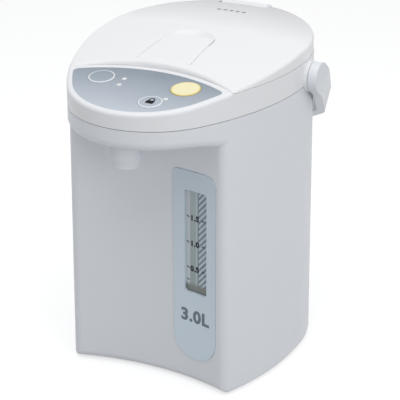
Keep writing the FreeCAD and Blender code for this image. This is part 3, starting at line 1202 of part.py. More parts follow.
def make_latch_keeper():
    wall = PANEL_ARC_Y + PANEL_ARC_RADIUS
    low = LATCH_BOTTOM - 1.0
    hook_z = LATCH_TOP + CLOSE
    leaf = box(-KEEPER_HALF, KEEPER_HALF, wall, wall + KEEPER_THICK, low, hook_z + KEEPER_THICK)
    hook = box(-KEEPER_HALF, KEEPER_HALF, wall, wall + KEEPER_HOOK, hook_z, hook_z + KEEPER_THICK)
    return fuse([leaf, hook])


def make_pivot_pins():
    head = bar(PIVOT_HEAD_RADIUS, PIVOT_Y, PIVOT_Z, PIVOT_BLOCK_X - PIVOT_HEAD_THICK, PIVOT_BLOCK_X)
    shank = bar(PIVOT_PIN_RADIUS, PIVOT_Y, PIVOT_Z, PIVOT_BLOCK_X - 1.0, HANDLE_OUTER_X - PIVOT_END_WALL - CLOSE)
    pin = fuse([head, shank])
    return [pin, pin.mirror(V(0, 0, 0), V(1, 0, 0))]


def offset_line(points, distance):
    """Moves an open line of points sideways, to its right as it runs."""
    shifted = []
    last = len(points) - 1
    for index, point in enumerate(points):
        before = points[index].sub(points[index - 1]) if index > 0 else None
        after = points[index + 1].sub(points[index]) if index < last else None
        first = before or after
        second = after or before
        n1 = V(first.y, -first.x, 0)
        n2 = V(second.y, -second.x, 0)
        n1.normalize()
        n2.normalize()
        middle = n1.add(n2)
        middle.normalize()
        shifted.append(point.add(middle.multiply(distance / middle.dot(n1))))
    return shifted


def smooth_edges(points, radii):
    """Straight runs joined by tangent arcs."""
    edges = []
    current = points[0]
    for index in range(1, len(points) - 1):
        corner = points[index]
        back = points[index - 1].sub(corner)
        ahead = points[index + 1].sub(corner)
        back.normalize()
        ahead.normalize()
        half = math.acos(max(-1.0, min(1.0, back.dot(ahead)))) / 2.0
        reach = radii[index - 1] / math.tan(half)
        start = corner.add(V(back).multiply(reach))
        end = corner.add(V(ahead).multiply(reach))
        to_centre = V(back).add(V(ahead))
        to_centre.normalize()
        centre = corner.add(V(to_centre).multiply(radii[index - 1] / math.sin(half)))
        middle = centre.sub(V(to_centre).multiply(radii[index - 1]))
        edges.append(Part.makeLine(current, start))
        edges.append(arc(start, middle, end))
        current = end
    edges.append(Part.makeLine(current, points[-1]))
    return edges


def bail_band(outer, inner, start):
    """Band of the bail between two depths from its outer side, drawn flat."""
    line = [V(HANDLE_OUTER_X, start, 0), V(HANDLE_OUTER_X, ARM_LENGTH, 0), V(KNEE_X, KNEE_REACH, 0),
            V(GRIP_HALF, GRIP_REACH, 0), V(-GRIP_HALF, GRIP_REACH, 0), V(-KNEE_X, KNEE_REACH, 0),
            V(-HANDLE_OUTER_X, ARM_LENGTH, 0), V(-HANDLE_OUTER_X, start, 0)]
    radii = [60.0, 50.0, 30.0, 30.0, 50.0, 60.0]
    first = offset_line(line, -outer)
    second = offset_line(line, -inner)
    edges = smooth_edges(first, [r - outer for r in radii])
    edges.append(Part.makeLine(first[-1], second[-1]))
    edges += smooth_edges(list(reversed(second)), [r - inner for r in reversed(radii)])
    edges.append(Part.makeLine(second[0], first[0]))
    return Part.Face(Part.Wire(edges))


def bail_side(inset):
    """Side view of the bail: a round end that narrows to the grip."""
    radius = BOSS_RADIUS - inset
    grip = GRIP_HALF_HEIGHT - inset
    far = GRIP_REACH + 10.0
    turn = math.asin((radius - grip) / GRIP_REACH)
    top = V(0, radius * math.sin(turn), radius * math.cos(turn))
    low = V(0, top.y, -top.z)
    fall = (far - top.y) * math.tan(turn)
    points = [V(0, far, top.z - fall), V(0, far, fall - top.z)]
    edges = [arc(low, V(0, -radius, 0), top), Part.makeLine(top, points[0]), Part.makeLine(points[0], points[1]),
             Part.makeLine(points[1], low)]
    face = Part.Face(Part.Wire(edges))
    face.translate(V(-HANDLE_OUTER_X - 5.0, 0, 0))
    return face.extrude(V(2.0 * HANDLE_OUTER_X + 10.0, 0, 0))


def make_carry_handle():
    tall = 2.0 * BOSS_RADIUS + 2.0
    band = bail_band(0.0, HANDLE_THICK, -BOSS_RADIUS - 1.0)
    band.translate(V(0, 0, -tall / 2.0))
    body = band.extrude(V(0, 0, tall)).common(bail_side(0.0))
    hollow = bail_band(HOLLOW_WALL, HANDLE_THICK + 5.0, HOLLOW_START)
    hollow.translate(V(0, 0, -tall / 2.0))
    hollow = hollow.extrude(V(0, 0, tall)).common(bail_side(HOLLOW_WALL))
    body = body.cut(hollow)
    body.rotate(V(0, 0, 0), V(1, 0, 0), -HANDLE_REST_ANGLE)
    body.translate(V(0, PIVOT_Y, PIVOT_Z))
    body = body.cut(bar(PIVOT_PIN_RADIUS + PIN_CLEAR, PIVOT_Y, PIVOT_Z, PIVOT_END_WALL - HANDLE_OUTER_X,
                        HANDLE_OUTER_X - PIVOT_END_WALL))
    body = body.cut(bar(BOSS_RADIUS + HOLLOW_WALL / 2.0, PIVOT_Y, PIVOT_Z, -HANDLE_INNER_X, HANDLE_INNER_X))
    return fuse([body, key_sector(1.0, 0.0, 0.0), key_sector(-1.0, 0.0, 0.0)])


def make_nodes():
    nodes = {
        "outer_body": make_outer_body(),
        "shoulder_ring": make_shoulder_ring(),
        "panel_overlay": make_panel_overlay(),
        "control_board": make_control_board(),
        "indicator_lenses": make_indicator_lenses(),
        "spout_housing": make_spout_housing(),
        "spout_tip": make_spout_tip(),
        "gauge_cover": make_gauge_cover(),
        "gauge_window": make_gauge_window(),
        "gauge_backing": make_gauge_backing(),
        "gauge_tube": make_gauge_tube(),
        "outlet_pipe": make_outlet_pipe(),
        "valve_ball": make_valve_ball(),
        "lower_elbow": make_lower_elbow(),
        "inner_vessel": make_vessel(),
        "vessel_gasket": ring(FLANGE_RADIUS, MOUTH_RADIUS + VESSEL_WALL + CLOSE, 0, VESSEL_Y, DECK_TOP,
                              FLANGE_BOTTOM),
        "bottom_heater": make_bottom_heater(),
        "band_heater": make_band_heater(),
        "thermistor": make_thermistor(),
        "thermal_fuse": make_thermal_fuse(),
        "pump_housing": make_pump_housing(),
        "pump_cover": make_pump_cover(),
        "impeller": make_impeller(),
        "drive_rotor": make_drive_rotor(),
        "pump_motor": make_pump_motor(),
        "pump_inlet_sleeve": make_pump_inlet(),
        "power_board": make_power_board(),
        "transformer": make_transformer(),
        "inlet_socket": make_inlet_socket(),
        "inlet_pins": make_inlet_pins(),
        "base_plate": make_base_plate(),
        "rubber_feet": make_rubber_feet(),
        "base_screws": [screw(x, y, FLOOR_GAP + SCREW_HEAD_HEIGHT) for x, y in SCREW_SPOTS],
        "handle_pivot_pins": make_pivot_pins(),
        "hinge_pin": make_hinge_pin(),
        "latch_keeper": make_latch_keeper(),
        "lid_shell": make_lid_shell(),
        "lid_liner": make_lid_liner(),
        "lid_seal": make_lid_seal(),
        "steam_cap": make_steam_cap(),
        "steam_duct": make_steam_duct(),
        "lid_screws": [screw(x, y, LINER_FLOOR_Z) for x, y in LID_SCREWS],
        "lever_pin": make_lever_pin(),
        "lid_lever": make_lid_lever(),
        "lid_latch": make_lid_latch(),
        "latch_spring": make_latch_spring(),
        "carry_handle": make_carry_handle(),
    }
    for name in BUTTONS:
        nodes[name] = make_button(name)
    return nodes


os.makedirs("parts", exist_ok=True)
for name, shape in make_nodes().items():
    whole = Part.Compound(shape) if isinstance(shape, list) else shape
    if len(whole.Solids) == 1:
        whole = whole.Solids[0]
    whole.translate(V(0, SHIFT_Y, 0))
    whole.exportStep(os.path.join("parts", name + ".step"))
    print(name, len(whole.Solids), whole.isValid(), round(whole.Volume / 1000.0, 2))
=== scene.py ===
import math
from collections import namedtuple

import bmesh
import bpy
from bpy.props import FloatProperty, FloatVectorProperty, PointerProperty, StringProperty
from mathutils import Matrix, Vector


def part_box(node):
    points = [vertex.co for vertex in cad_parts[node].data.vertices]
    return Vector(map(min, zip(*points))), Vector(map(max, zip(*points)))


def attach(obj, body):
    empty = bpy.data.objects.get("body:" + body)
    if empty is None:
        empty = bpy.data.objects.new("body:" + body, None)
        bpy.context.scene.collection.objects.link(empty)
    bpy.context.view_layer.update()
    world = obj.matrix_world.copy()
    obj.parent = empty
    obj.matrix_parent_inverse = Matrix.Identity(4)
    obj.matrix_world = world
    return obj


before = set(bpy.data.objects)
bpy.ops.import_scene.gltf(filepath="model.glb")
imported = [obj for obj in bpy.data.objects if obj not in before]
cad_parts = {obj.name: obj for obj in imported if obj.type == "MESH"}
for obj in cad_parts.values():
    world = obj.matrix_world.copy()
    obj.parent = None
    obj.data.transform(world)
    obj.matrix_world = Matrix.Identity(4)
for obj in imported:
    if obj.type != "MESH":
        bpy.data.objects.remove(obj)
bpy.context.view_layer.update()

bl_info = {
    "name": "Thermo Pot Looks",
    "version": (1, 0, 0),
    "blender": (4, 5, 0),
    "location": "3D View > Sidebar > Thermo Pot",
    "description": "Finishes, printed marks and studio for an electric thermo pot",
    "category": "Object",
}

# The recess wall is an upright arc; the gauge's two faces are measured out of it, in metres
RECESS_WALL_Y = -0.07766
RECESS_RADIUS = 0.2427
COVER_FACE = 0.0009
WINDOW_FACE = -0.0016

# The sloped panel, how far a button's print lies above it, and how far under its highest point a button's
# top face still reaches
PANEL_ORIGIN = Vector((0.0, -0.077863, 0.2813))
PANEL_SLOPE = math.radians(7.8)
BUTTON_TOP = 0.0005
TOP_FACE_DEPTH = 0.0003

# Printed figures: half the ink's depth, height as a share of the font's size, spacing and stroke weight
INK_HALF = 0.00004
FIGURE_SHARE = 0.7
FIGURE_SPACING = 1.1
NUMBER_WEIGHT = 0.00034
CAPACITY_WEIGHT = 0.0007

# The scale's marks, across and up: a tick has its left end, its rise over a number's middle, its length
# and its fall to the right
Tick = namedtuple("Tick", "x rise length fall")
LEFT_TICK = Tick(x=0.0344, rise=0.0012, length=0.0026, fall=-0.0012)
RIGHT_TICK = Tick(x=0.0500, rise=-0.0004, length=0.0030, fall=-0.0008)
TICK_THICK = 0.0010
LOW_TICK_Z = 0.1030
NUMBERS = ("0.5", "1.0", "1.5")
NUMBER_X = 0.0425
LOWEST_NUMBER_Z = 0.1138
CAPACITY_X = 0.0440
CAPACITY_Z = 0.0685

# Edges seen in the gauge's window, across or up: each goes from nought to full between two places
WATER_WAY_EDGE = (0.0374, 0.0378)
BRIGHT_LINE_EDGES = ((0.0437, 0.0440), (0.0449, 0.0446))
STRIPES_EDGE = (0.0461, 0.0464)
DARK_LINE_EDGES = ((0.0459, 0.0461), (0.0470, 0.0464))
FOOT_EDGE = (0.1025, 0.0985)
FOOT_RAGGEDNESS = 0.003

# Heights over which the water's and the cover's tones change, and the slope and softness of the stripes
WATER_RISE = (0.10, 0.19)
COVER_RISE = (0.03, 0.20)
STRIPE_SLOPE = 1.15
STRIPE_SOFTNESS = 0.35

# The padlock: its ink's depth, and shares of its width, its body's height or half its width
PADLOCK_INK = 0.00006
PADLOCK_TALL = 0.72
PADLOCK_DROP = 0.75
PADLOCK_CORNER = 0.25
SHACKLE_RISE = 0.45
SHACKLE_OUTER = 0.74
SHACKLE_INNER = 0.42
CORNER_STEPS = 4
SHACKLE_STEPS = 14

# Moulded plastic: its optical index, how far its roughness varies, how much smoother the ring and the
# lid are than the casing, and the mottle and grain of the parts
PLASTIC_IOR = 1.46
SMOOTHER = 0.04
ROUGHER = 0.05
RING_SMOOTHER = 0.05
LID_SMOOTHER = 0.04
MOTTLE_SCALE = 28.0
MOTTLE_DEPTH = 0.012
INNER_GRAIN = 0.0006
BASE_GRAIN = 0.0007

# Places, from front to back, where painted shade greys the lid towards its hump and the film deepens
# towards the lid, and how soft the painted seam shadow and the printed edges are
LID_PAINTED_SHADE = (0.030, 0.110)
HUMP_PAINTED_SHADE = 0.70
FILM_SHADE = (-0.150, -0.072)
NO_SEAM_SHADOW = -1.0
SEAM_SHADOW_SOFTNESS = 0.0001
RIM_SOFTNESS = 0.0002

# Brushed metal's pattern along and across its lines, and the part of a noise's range that is used
BRUSH_ALONG = 60.0
BRUSH_ACROSS = 1400.0
NOISE_EDGES = (0.3, 0.7)

# Where Blender's mix node keeps its two colours and its mixed colour
MIX_COLOURS = (6, 7)
MIX_RESULT = 2

# The stage: lamps and what they aim at, half the floor's width, and the camera's sensor in millimetres
TOP_LAMP_PLACE = (0.10, -0.25, 1.35)
TOP_LAMP_WIDTH = 1.5
FRONT_LAMP_PLACE = (1.25, -0.75, 0.60)
FRONT_LAMP_WIDTH = 0.9
LAMP_AIM = (0.0, 0.0, 0.15)
FLOOR_REACH = 4.0
FLOOR_GLOW = 0.62
SENSOR_WIDTH = 36.0
WHITE = (1.0, 1.0, 1.0, 1.0)


def colour_property(label, text, value):
    return FloatVectorProperty(name=label, description=text, default=value, subtype="COLOR", size=3,
                               min=0.0, max=1.0)


def size_property(label, text, value):
    return FloatProperty(name=label, description=text, default=value, unit="LENGTH", subtype="DISTANCE")


def share_property(label, text, value):
    return FloatProperty(name=label, description=text, default=value, min=0.0, max=1.0, subtype="FACTOR")


class BodyLook(bpy.types.PropertyGroup):
    casing: colour_property("Casing", "Moulded casing and carry handle", (0.79, 0.815, 0.855))
    ring: colour_property("Shoulder ring", "Ring round the lid and the panel", (0.86, 0.87, 0.89))
    lid: colour_property("Lid", "Lid and its lever", (0.90, 0.90, 0.91))
    # The lever's seam shadow is painted shade, drawn into the lever plastic's colour
    seam: colour_property("Seam", "Shadow line along the lever's front edge", (0.42, 0.43, 0.45))
    seam_shadow_width: size_property("Seam width", "Width of that line", 0.0008)
    spout: colour_property("Spout", "Spout housing and tip", (0.73, 0.76, 0.80))
    roughness: share_property("Roughness", "Sheen of the moulded plastic", 0.38)
    grain: size_property("Grain", "Size of the moulded skin's fine grain", 0.0009)


class PanelLook(bpy.types.PropertyGroup):
    back: colour_property("Film at the back", "Panel film next to the lid", (0.21, 0.26, 0.32))
    front: colour_property("Film at the front", "Panel film over the nose", (0.58, 0.64, 0.71))
    rim: colour_property("Button rim", "Pale line round a button", (0.80, 0.83, 0.86))
    dispense: colour_property("Dispense button", "Middle of the dispense button", (0.94, 0.87, 0.54))
    dispense_rim: colour_property("Dispense rim", "Line round the dispense button", (0.74, 0.60, 0.22))
    mark: colour_property("Padlock", "Printed padlock", (0.006, 0.007, 0.010))
    lens: colour_property("Lamp lens", "Frosted lamp lenses", (0.95, 0.96, 0.97))
    rim_width: size_property("Rim width", "Width of the line round a button", 0.0012)
    padlock: size_property("Padlock width", "Width of the printed padlock's body", 0.0072)


class GaugeLook(bpy.types.PropertyGroup):
    cover: colour_property("Cover", "Gauge cover", (0.63, 0.72, 0.80))
    strip: colour_property("Pale strip", "Strip behind the scale's ticks", (0.56, 0.61, 0.64))
    water: colour_property("Water way", "Band in front of the glass tube", (0.30, 0.36, 0.37))
    stripe: colour_property("Dark stripes", "Slanted stripes on the right", (0.10, 0.15, 0.20))
    light_stripe: colour_property("Light stripes", "Gaps between the stripes", (0.50, 0.59, 0.66))
    foot: colour_property("Foot", "Foot of the gauge's backing", (0.17, 0.19, 0.18))
    glass: colour_property("Glass", "Gauge glass tube", (0.80, 0.86, 0.85))
    ink: colour_property("Scale ink", "Numbers and ticks", (0.012, 0.015, 0.018))
    capacity_ink: colour_property("Capacity ink", "Large capacity mark", (0.20, 0.25, 0.28))
    stripe_pitch: size_property("Stripe pitch", "Height between two stripes", 0.0056)
    number_height: size_property("Number height", "Height of the scale's numbers", 0.0048)
    capacity_height: size_property("Capacity height", "Height of the capacity mark", 0.0112)
    half_litre: size_property("Half litre", "Height between two numbers of the scale", 0.0241)
    capacity: StringProperty(name="Capacity", description="Capacity mark on the cover", default="3.0L")


class InsideLook(bpy.types.PropertyGroup):
    lining: colour_property("Vessel", "Satin steel of the vessel", (0.46, 0.47, 0.48))
    liner: colour_property("Inner plastic", "Unpainted plastic inside", (0.66, 0.66, 0.64))
    rubber: colour_property("Seals", "Soft seals and sleeves", (0.72, 0.73, 0.70))
    feet: colour_property("Feet", "Rubber feet", (0.045, 0.045, 0.05))
    inlet: colour_property("Inlet", "Dark plastic of the inlet socket", (0.05, 0.05, 0.055))
    board: colour_property("Boards", "Circuit boards", (0.03, 0.16, 0.07))
    steel: colour_property("Steel", "Screws, pins and springs", (0.55, 0.56, 0.57))
    heater: colour_property("Bottom heater", "Cast metal under the vessel", (0.50, 0.50, 0.49))
    motor: colour_property("Motor", "Pump motor's case", (0.44, 0.45, 0.46))
    iron: colour_property("Iron", "Transformer and drive rotor", (0.12, 0.12, 0.13))
    brass: colour_property("Brass", "Inlet pins", (0.66, 0.48, 0.20))
    band: colour_property("Heater band", "Wrapped keep-warm heater", (0.34, 0.29, 0.21))
    ceramic: colour_property("Ceramic", "Thermal fuse", (0.60, 0.57, 0.50))


class StageLook(bpy.types.PropertyGroup):
    floor: colour_property("Floor", "Pale studio floor", (0.55, 0.55, 0.55))
    room: colour_property("Room tint", "Colour of the even room light", (0.97, 0.985, 1.0))
    camera_x: size_property("Camera right", "Camera's place to the right", 0.5315)
    camera_y: size_property("Camera back", "Camera's place in depth", -1.04576)
    camera_z: size_property("Camera height", "Camera's height over the floor", 0.6533)
    azimuth: FloatProperty(name="Azimuth", description="Turn of the camera about the pot",
                           default=math.radians(26.61), subtype="ANGLE")
    pitch: FloatProperty(name="Pitch", description="How far the camera looks down",
                         default=math.radians(23.63), subtype="ANGLE")
    lens: FloatProperty(name="Lens", description="Focal length", default=125.58, subtype="DISTANCE_CAMERA")
    key: FloatProperty(name="Top lamp", description="Power of the soft lamp overhead", default=7.0,
                       subtype="POWER")
    fill: FloatProperty(name="Front lamp", description="Power of the soft lamp in front", default=4.0,
                        subtype="POWER")
    sky: FloatProperty(name="Room", description="Strength of the even room light", default=0.52, min=0.0)


def toned(colour, share):
    """The colour made darker, or lighter up to white."""
    return [min(1.0, part * share) for part in colour]


class Finish:
    """A node material under construction; its pattern follows the pot's own coordinates."""

    def __init__(self, name):
        self.material = bpy.data.materials.new(name)
        self.material.use_nodes = True
        self.tree = self.material.node_tree
        self.shader = self.tree.nodes["Principled BSDF"]
        self.place = self.tree.nodes.new("ShaderNodeTexCoord").outputs["Object"]

    def node(self, kind, **settings):
        made = self.tree.nodes.new(kind)
        for key, value in settings.items():
            setattr(made, key, value)
        return made

    def link(self, source, target):
        self.tree.links.new(source, target)

    def set_shader(self, name, value):
        self.shader.inputs[name].default_value = value

    def noise(self, scale, detail=2.0, place=None):
        made = self.node("ShaderNodeTexNoise")
        made.inputs["Scale"].default_value = scale
        made.inputs["Detail"].default_value = detail
        self.link(self.place if place is None else place, made.inputs["Vector"])
        return made.outputs["Fac"]

    def calculate(self, operation, first, second=None):
        made = self.node("ShaderNodeMath", operation=operation)
        for index, value in enumerate((first, second)):
            if value is None:
                continue
            if isinstance(value, (int, float)):
                made.inputs[index].default_value = value
            else:
                self.link(value, made.inputs[index])
        return made.outputs[0]

    def axis(self, name):
        made = self.node("ShaderNodeSeparateXYZ")
        self.link(self.place, made.inputs[0])
        return made.outputs[name]

    def span(self, value, low, high, to_low=0.0, to_high=1.0):
        """Where a value lies between two places, as a share; it falls where the first is the higher."""
        made = self.node("ShaderNodeMapRange")
        for key, number in (("From Min", low), ("From Max", high), ("To Min", to_low), ("To Max", to_high)):
            made.inputs[key].default_value = number
        self.link(value, made.inputs["Value"])
        return made.outputs["Result"]

    def band(self, value, rise, fall):
        """One between two edges and nought outside them."""
        return self.calculate("MULTIPLY", self.span(value, *rise), self.span(value, *fall))

    def cloud(self, scale, share, edges=NOISE_EDGES):
        """Soft patches that reach up to a share."""
        return self.span(self.noise(scale, detail=3.0), *edges, 0.0, share)

    def blend(self, share, first, second):
        """Mixes two colours, each a socket or plain numbers."""
        made = self.node("ShaderNodeMix", data_type="RGBA")
        for index, value in zip(MIX_COLOURS, (first, second)):
            if hasattr(value, "is_linked"):
                self.link(value, made.inputs[index])
            else:
                made.inputs[index].default_value = (*value, 1.0)
        self.link(share, made.inputs[0])
        return made.outputs[MIX_RESULT]

    def colour(self, output):
        self.link(output, self.shader.inputs["Base Color"])

    def mottled(self, colour, scale, depth):
        """The colour with the slight unevenness of a real surface."""
        share = self.noise(scale, detail=3.0)
        return self.blend(share, toned(colour, 1.0 - depth), toned(colour, 1.0 + depth))

    def bump(self, height, strength, distance):
        made = self.node("ShaderNodeBump")
        made.inputs["Strength"].default_value = strength
        made.inputs["Distance"].default_value = distance
        self.link(height, made.inputs["Height"])
        self.link(made.outputs["Normal"], self.shader.inputs["Normal"])

    def sheen_range(self, low, high, scale=50.0):
        """Roughness that wanders between two values."""
        self.link(self.span(self.noise(scale), *NOISE_EDGES, low, high), self.shader.inputs["Roughness"])


def speckled(name, colour, scale, depth, sheen):
    """A surface with a faint mottle and an uneven sheen, which most finishes here start from."""
    finish = Finish(name)
    finish.colour(finish.mottled(colour, scale, depth))
    finish.sheen_range(*sheen)
    return finish


def moulded_skin(finish, roughness, grain):
    """Sheen and fine grain of moulded plastic."""
    finish.sheen_range(roughness - SMOOTHER, roughness + ROUGHER)
    finish.bump(finish.noise(1.0 / grain, detail=3.0), strength=0.12, distance=0.00006)
    finish.set_shader("IOR", PLASTIC_IOR)


def moulded_plastic(name, colour, roughness, grain=INNER_GRAIN):
    finish = Finish(name)
    finish.colour(finish.mottled(colour, MOTTLE_SCALE, MOTTLE_DEPTH))
    moulded_skin(finish, roughness, grain)
    return finish.material


def soft_rubber(name, colour):
    finish = speckled(name, colour, scale=90.0, depth=0.06, sheen=(0.62, 0.78))
    finish.bump(finish.noise(900.0, detail=4.0), strength=0.25, distance=0.0001)
    return finish.material


def printed_ink(name, colour):
    finish = speckled(name, colour, scale=400.0, depth=0.08, sheen=(0.72, 0.85))
    finish.set_shader("Specular IOR Level", 0.2)
    return finish.material


def clear_finish(name, colour, scale, depth, sheen, clearness):
    """Glass or frosted plastic that lets a share of the light through."""
    finish = speckled(name, colour, scale, depth, sheen)
    finish.set_shader("Transmission Weight", clearness)
    return finish.material


def brushed_metal(name, colour, roughness, across="Z"):
    """Metal with fine lines that lie square to one axis."""
    finish = Finish(name)
    stretch = finish.node("ShaderNodeMapping")
    scale = [BRUSH_ACROSS if axis == across else BRUSH_ALONG for axis in "XYZ"]
    stretch.inputs["Scale"].default_value = scale
    finish.link(finish.place, stretch.inputs["Vector"])
    lines = finish.noise(1.0, detail=3.0, place=stretch.outputs[0])
    finish.colour(finish.blend(lines, toned(colour, 0.9), colour))
    finish.set_shader("Metallic", 1.0)
    finish.link(finish.span(lines, *NOISE_EDGES, roughness - 0.06, roughness + 0.08),
                finish.shader.inputs["Roughness"])
    finish.bump(lines, strength=0.15, distance=0.00005)
    return finish.material


def circuit_board(name, colour):
    """Green board with paler tracks."""
    finish = Finish(name)
    tracks = finish.node("ShaderNodeTexVoronoi", feature="DISTANCE_TO_EDGE")
    tracks.inputs["Scale"].default_value = 130.0
    finish.link(finish.place, tracks.inputs["Vector"])
    edge = finish.span(tracks.outputs["Distance"], 0.03, 0.06)
    finish.colour(finish.blend(edge, toned(colour, 1.9), colour))
    finish.sheen_range(0.32, 0.45)
    return finish.material


def paint(names, material):
    """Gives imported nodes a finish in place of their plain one."""
    for name in names:
        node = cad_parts[name]
        if not node.material_slots:
            node.data.materials.append(material)
        for slot in node.material_slots:
            slot.material = material


def on_recess(x, z, out):
    """A point on the recess wall, moved out of the wall towards the cup."""
    radius = RECESS_RADIUS - out
    return Vector((x, RECESS_WALL_Y - RECESS_RADIUS + math.sqrt(radius ** 2 - x ** 2), z))


def on_panel(u, v, out):
    """A point on the sloped panel, raised square to it."""
    tilt = Matrix.Rotation(PANEL_SLOPE, 3, "X")
    return PANEL_ORIGIN + tilt @ Vector((u, v, out))


def mesh_piece(name, mesh, material, body):
    """Adds a mesh that rides on a body."""
    piece = bpy.data.objects.new(name, mesh)
    bpy.context.scene.collection.objects.link(piece)
    mesh.materials.clear()
    mesh.materials.append(material)
    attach(piece, body)


def prism_mesh(name, outline, place, low, high):
    """Closed thin print: an outline of flat points placed between two heights."""
    mesh = bpy.data.meshes.new(name)
    work = bmesh.new()
    bottom = [work.verts.new(place(u, v, low)) for u, v in outline]
    top = [work.verts.new(place(u, v, high)) for u, v in outline]
    work.faces.new(list(reversed(bottom)))
    work.faces.new(top)
    for index in range(len(outline)):
        after = (index + 1) % len(outline)
        work.faces.new((bottom[index], bottom[after], top[after], top[index]))
    bmesh.ops.recalc_face_normals(work, faces=work.faces)
    work.to_mesh(mesh)
    work.free()
    return mesh


def arc_points(centre, radius, start, end, count):
    """Points of an arc between two angles in degrees."""
    points = []
    for index in range(count + 1):
        angle = math.radians(start + (end - start) * index / count)
        points.append((centre[0] + radius * math.cos(angle), centre[1] + radius * math.sin(angle)))
    return points


def figures_mesh(name, words, height, x, z, out, weight):
    """Printed figures that follow the curve of the recess wall."""
    curve = bpy.data.curves.new(name, "FONT")
    curve.body = words
    curve.size = height / FIGURE_SHARE
    curve.extrude = INK_HALF
    curve.offset = weight
    curve.space_character = FIGURE_SPACING
    curve.align_x = "CENTER"
    curve.align_y = "CENTER"
    drawn = bpy.data.objects.new(name + "_line", curve)
    bpy.context.scene.collection.objects.link(drawn)
    bpy.context.view_layer.update()
    graph = bpy.context.evaluated_depsgraph_get()
    mesh = bpy.data.meshes.new_from_object(drawn.evaluated_get(graph))
    bpy.data.objects.remove(drawn)
    for vertex in mesh.vertices:
        raised = out + vertex.co.z + INK_HALF
        vertex.co = on_recess(x + vertex.co.x, z + vertex.co.y, raised)
    mesh.name = name
    return mesh


class POT_OT_casing(bpy.types.Operator):
    """Finishes the casing, the shoulder ring, the spout and the carry handle"""

    bl_idname = "pot.casing"
    bl_label = "Casing, ring, spout and handle"

    def execute(self, context):
        look = context.scene.pot_body
        casing = moulded_plastic("casing_plastic", look.casing, look.roughness, look.grain)
        ring = moulded_plastic("ring_plastic", look.ring, look.roughness - RING_SMOOTHER, look.grain)
        spout = moulded_plastic("spout_plastic", look.spout, look.roughness, look.grain)
        paint(["outer_body", "carry_handle"], casing)
        paint(["shoulder_ring"], ring)
        paint(["spout_housing", "spout_tip"], spout)
        return {"FINISHED"}


def lid_plastic(name, look, seam_shadow_y):
    """Lid plastic, greyed by painted shade towards the hump and darkened by a painted seam shadow."""
    finish = Finish(name)
    depth = finish.axis("Y")
    front = finish.mottled(look.lid, MOTTLE_SCALE, MOTTLE_DEPTH)
    # Painted shade: the lid's colour greys towards the hump at the back
    ground = finish.blend(finish.span(depth, *LID_PAINTED_SHADE), front, toned(look.lid, HUMP_PAINTED_SHADE))
    # Painted shadow line along the lever's front seam
    seam = finish.span(depth, seam_shadow_y, seam_shadow_y - SEAM_SHADOW_SOFTNESS)
    finish.colour(finish.blend(seam, ground, look.seam))
    moulded_skin(finish, look.roughness - LID_SMOOTHER, look.grain)
    return finish.material


class POT_OT_lid(bpy.types.Operator):
    """Finishes the lid, its lever and what the lid carries"""

    bl_idname = "pot.lid"
    bl_label = "Lid and lever"

    def execute(self, context):
        look = context.scene.pot_body
        inside = context.scene.pot_inside
        lever_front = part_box("lid_lever")[0].y
        # Lid and lever carry the painted shade towards the hump; only the lever carries the painted seam
        # shadow
        paint(["lid_shell"], lid_plastic("lid_plastic", look, NO_SEAM_SHADOW))
        paint(["lid_lever"], lid_plastic("lever_plastic", look, lever_front + look.seam_shadow_width))
        liner = moulded_plastic("liner_plastic", inside.liner, roughness=0.5)
        paint(["lid_liner", "steam_cap", "steam_duct", "lid_latch"], liner)
        paint(["lid_seal"], soft_rubber("seal_silicone", inside.rubber))
        return {"FINISHED"}


def film_ground(finish, look):
    """Film colour that deepens from the nose towards the lid."""
    depth = finish.span(finish.axis("Y"), *FILM_SHADE)
    ground = finish.blend(depth, look.front, look.back)
    return finish.blend(finish.cloud(14.0, share=0.10), ground, look.rim)


def panel_film(look):
    finish = Finish("panel_film")
    finish.colour(film_ground(finish, look))
    finish.sheen_range(0.30, 0.38)
    finish.bump(finish.noise(2200.0), strength=0.06, distance=0.00003)
    return finish.material


def top_disc(node):
    """Middle, across and in depth, and radius of the face that a button turns to the finger."""
    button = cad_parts[node]
    normal = Vector((0.0, -math.sin(PANEL_SLOPE), math.cos(PANEL_SLOPE)))
    points = [button.matrix_world @ vertex.co for vertex in button.data.vertices]
    peak = max(point.dot(normal) for point in points)
    top = [point for point in points if point.dot(normal) > peak - TOP_FACE_DEPTH]
    left, right = min(point.x for point in top), max(point.x for point in top)
    front, back = min(point.y for point in top), max(point.y for point in top)
    return (left + right) / 2.0, (front + back) / 2.0, (right - left) / 2.0


def ringed_button(name, node, look, middle, rim):
    """Round button with a printed line at its edge; without a middle colour it matches the film."""
    centre_x, centre_y, radius = top_disc(node)
    finish = Finish(name)
    across = finish.calculate("SUBTRACT", finish.axis("X"), centre_x)
    depth = finish.calculate("SUBTRACT", finish.axis("Y"), centre_y)
    along = finish.calculate("DIVIDE", depth, math.cos(PANEL_SLOPE))
    squares = [finish.calculate("MULTIPLY", side, side) for side in (across, along)]
    reach = finish.calculate("SQRT", finish.calculate("ADD", *squares))
    inner = radius - look.rim_width
    edge = finish.span(reach, inner - RIM_SOFTNESS, inner + RIM_SOFTNESS)
    uneven = finish.mottled(middle, scale=60.0, depth=0.03) if middle else film_ground(finish, look)
    finish.colour(finish.blend(edge, uneven, rim))
    finish.sheen_range(0.33, 0.42)
    finish.bump(finish.noise(1500.0), strength=0.05, distance=0.00004)
    return finish.material


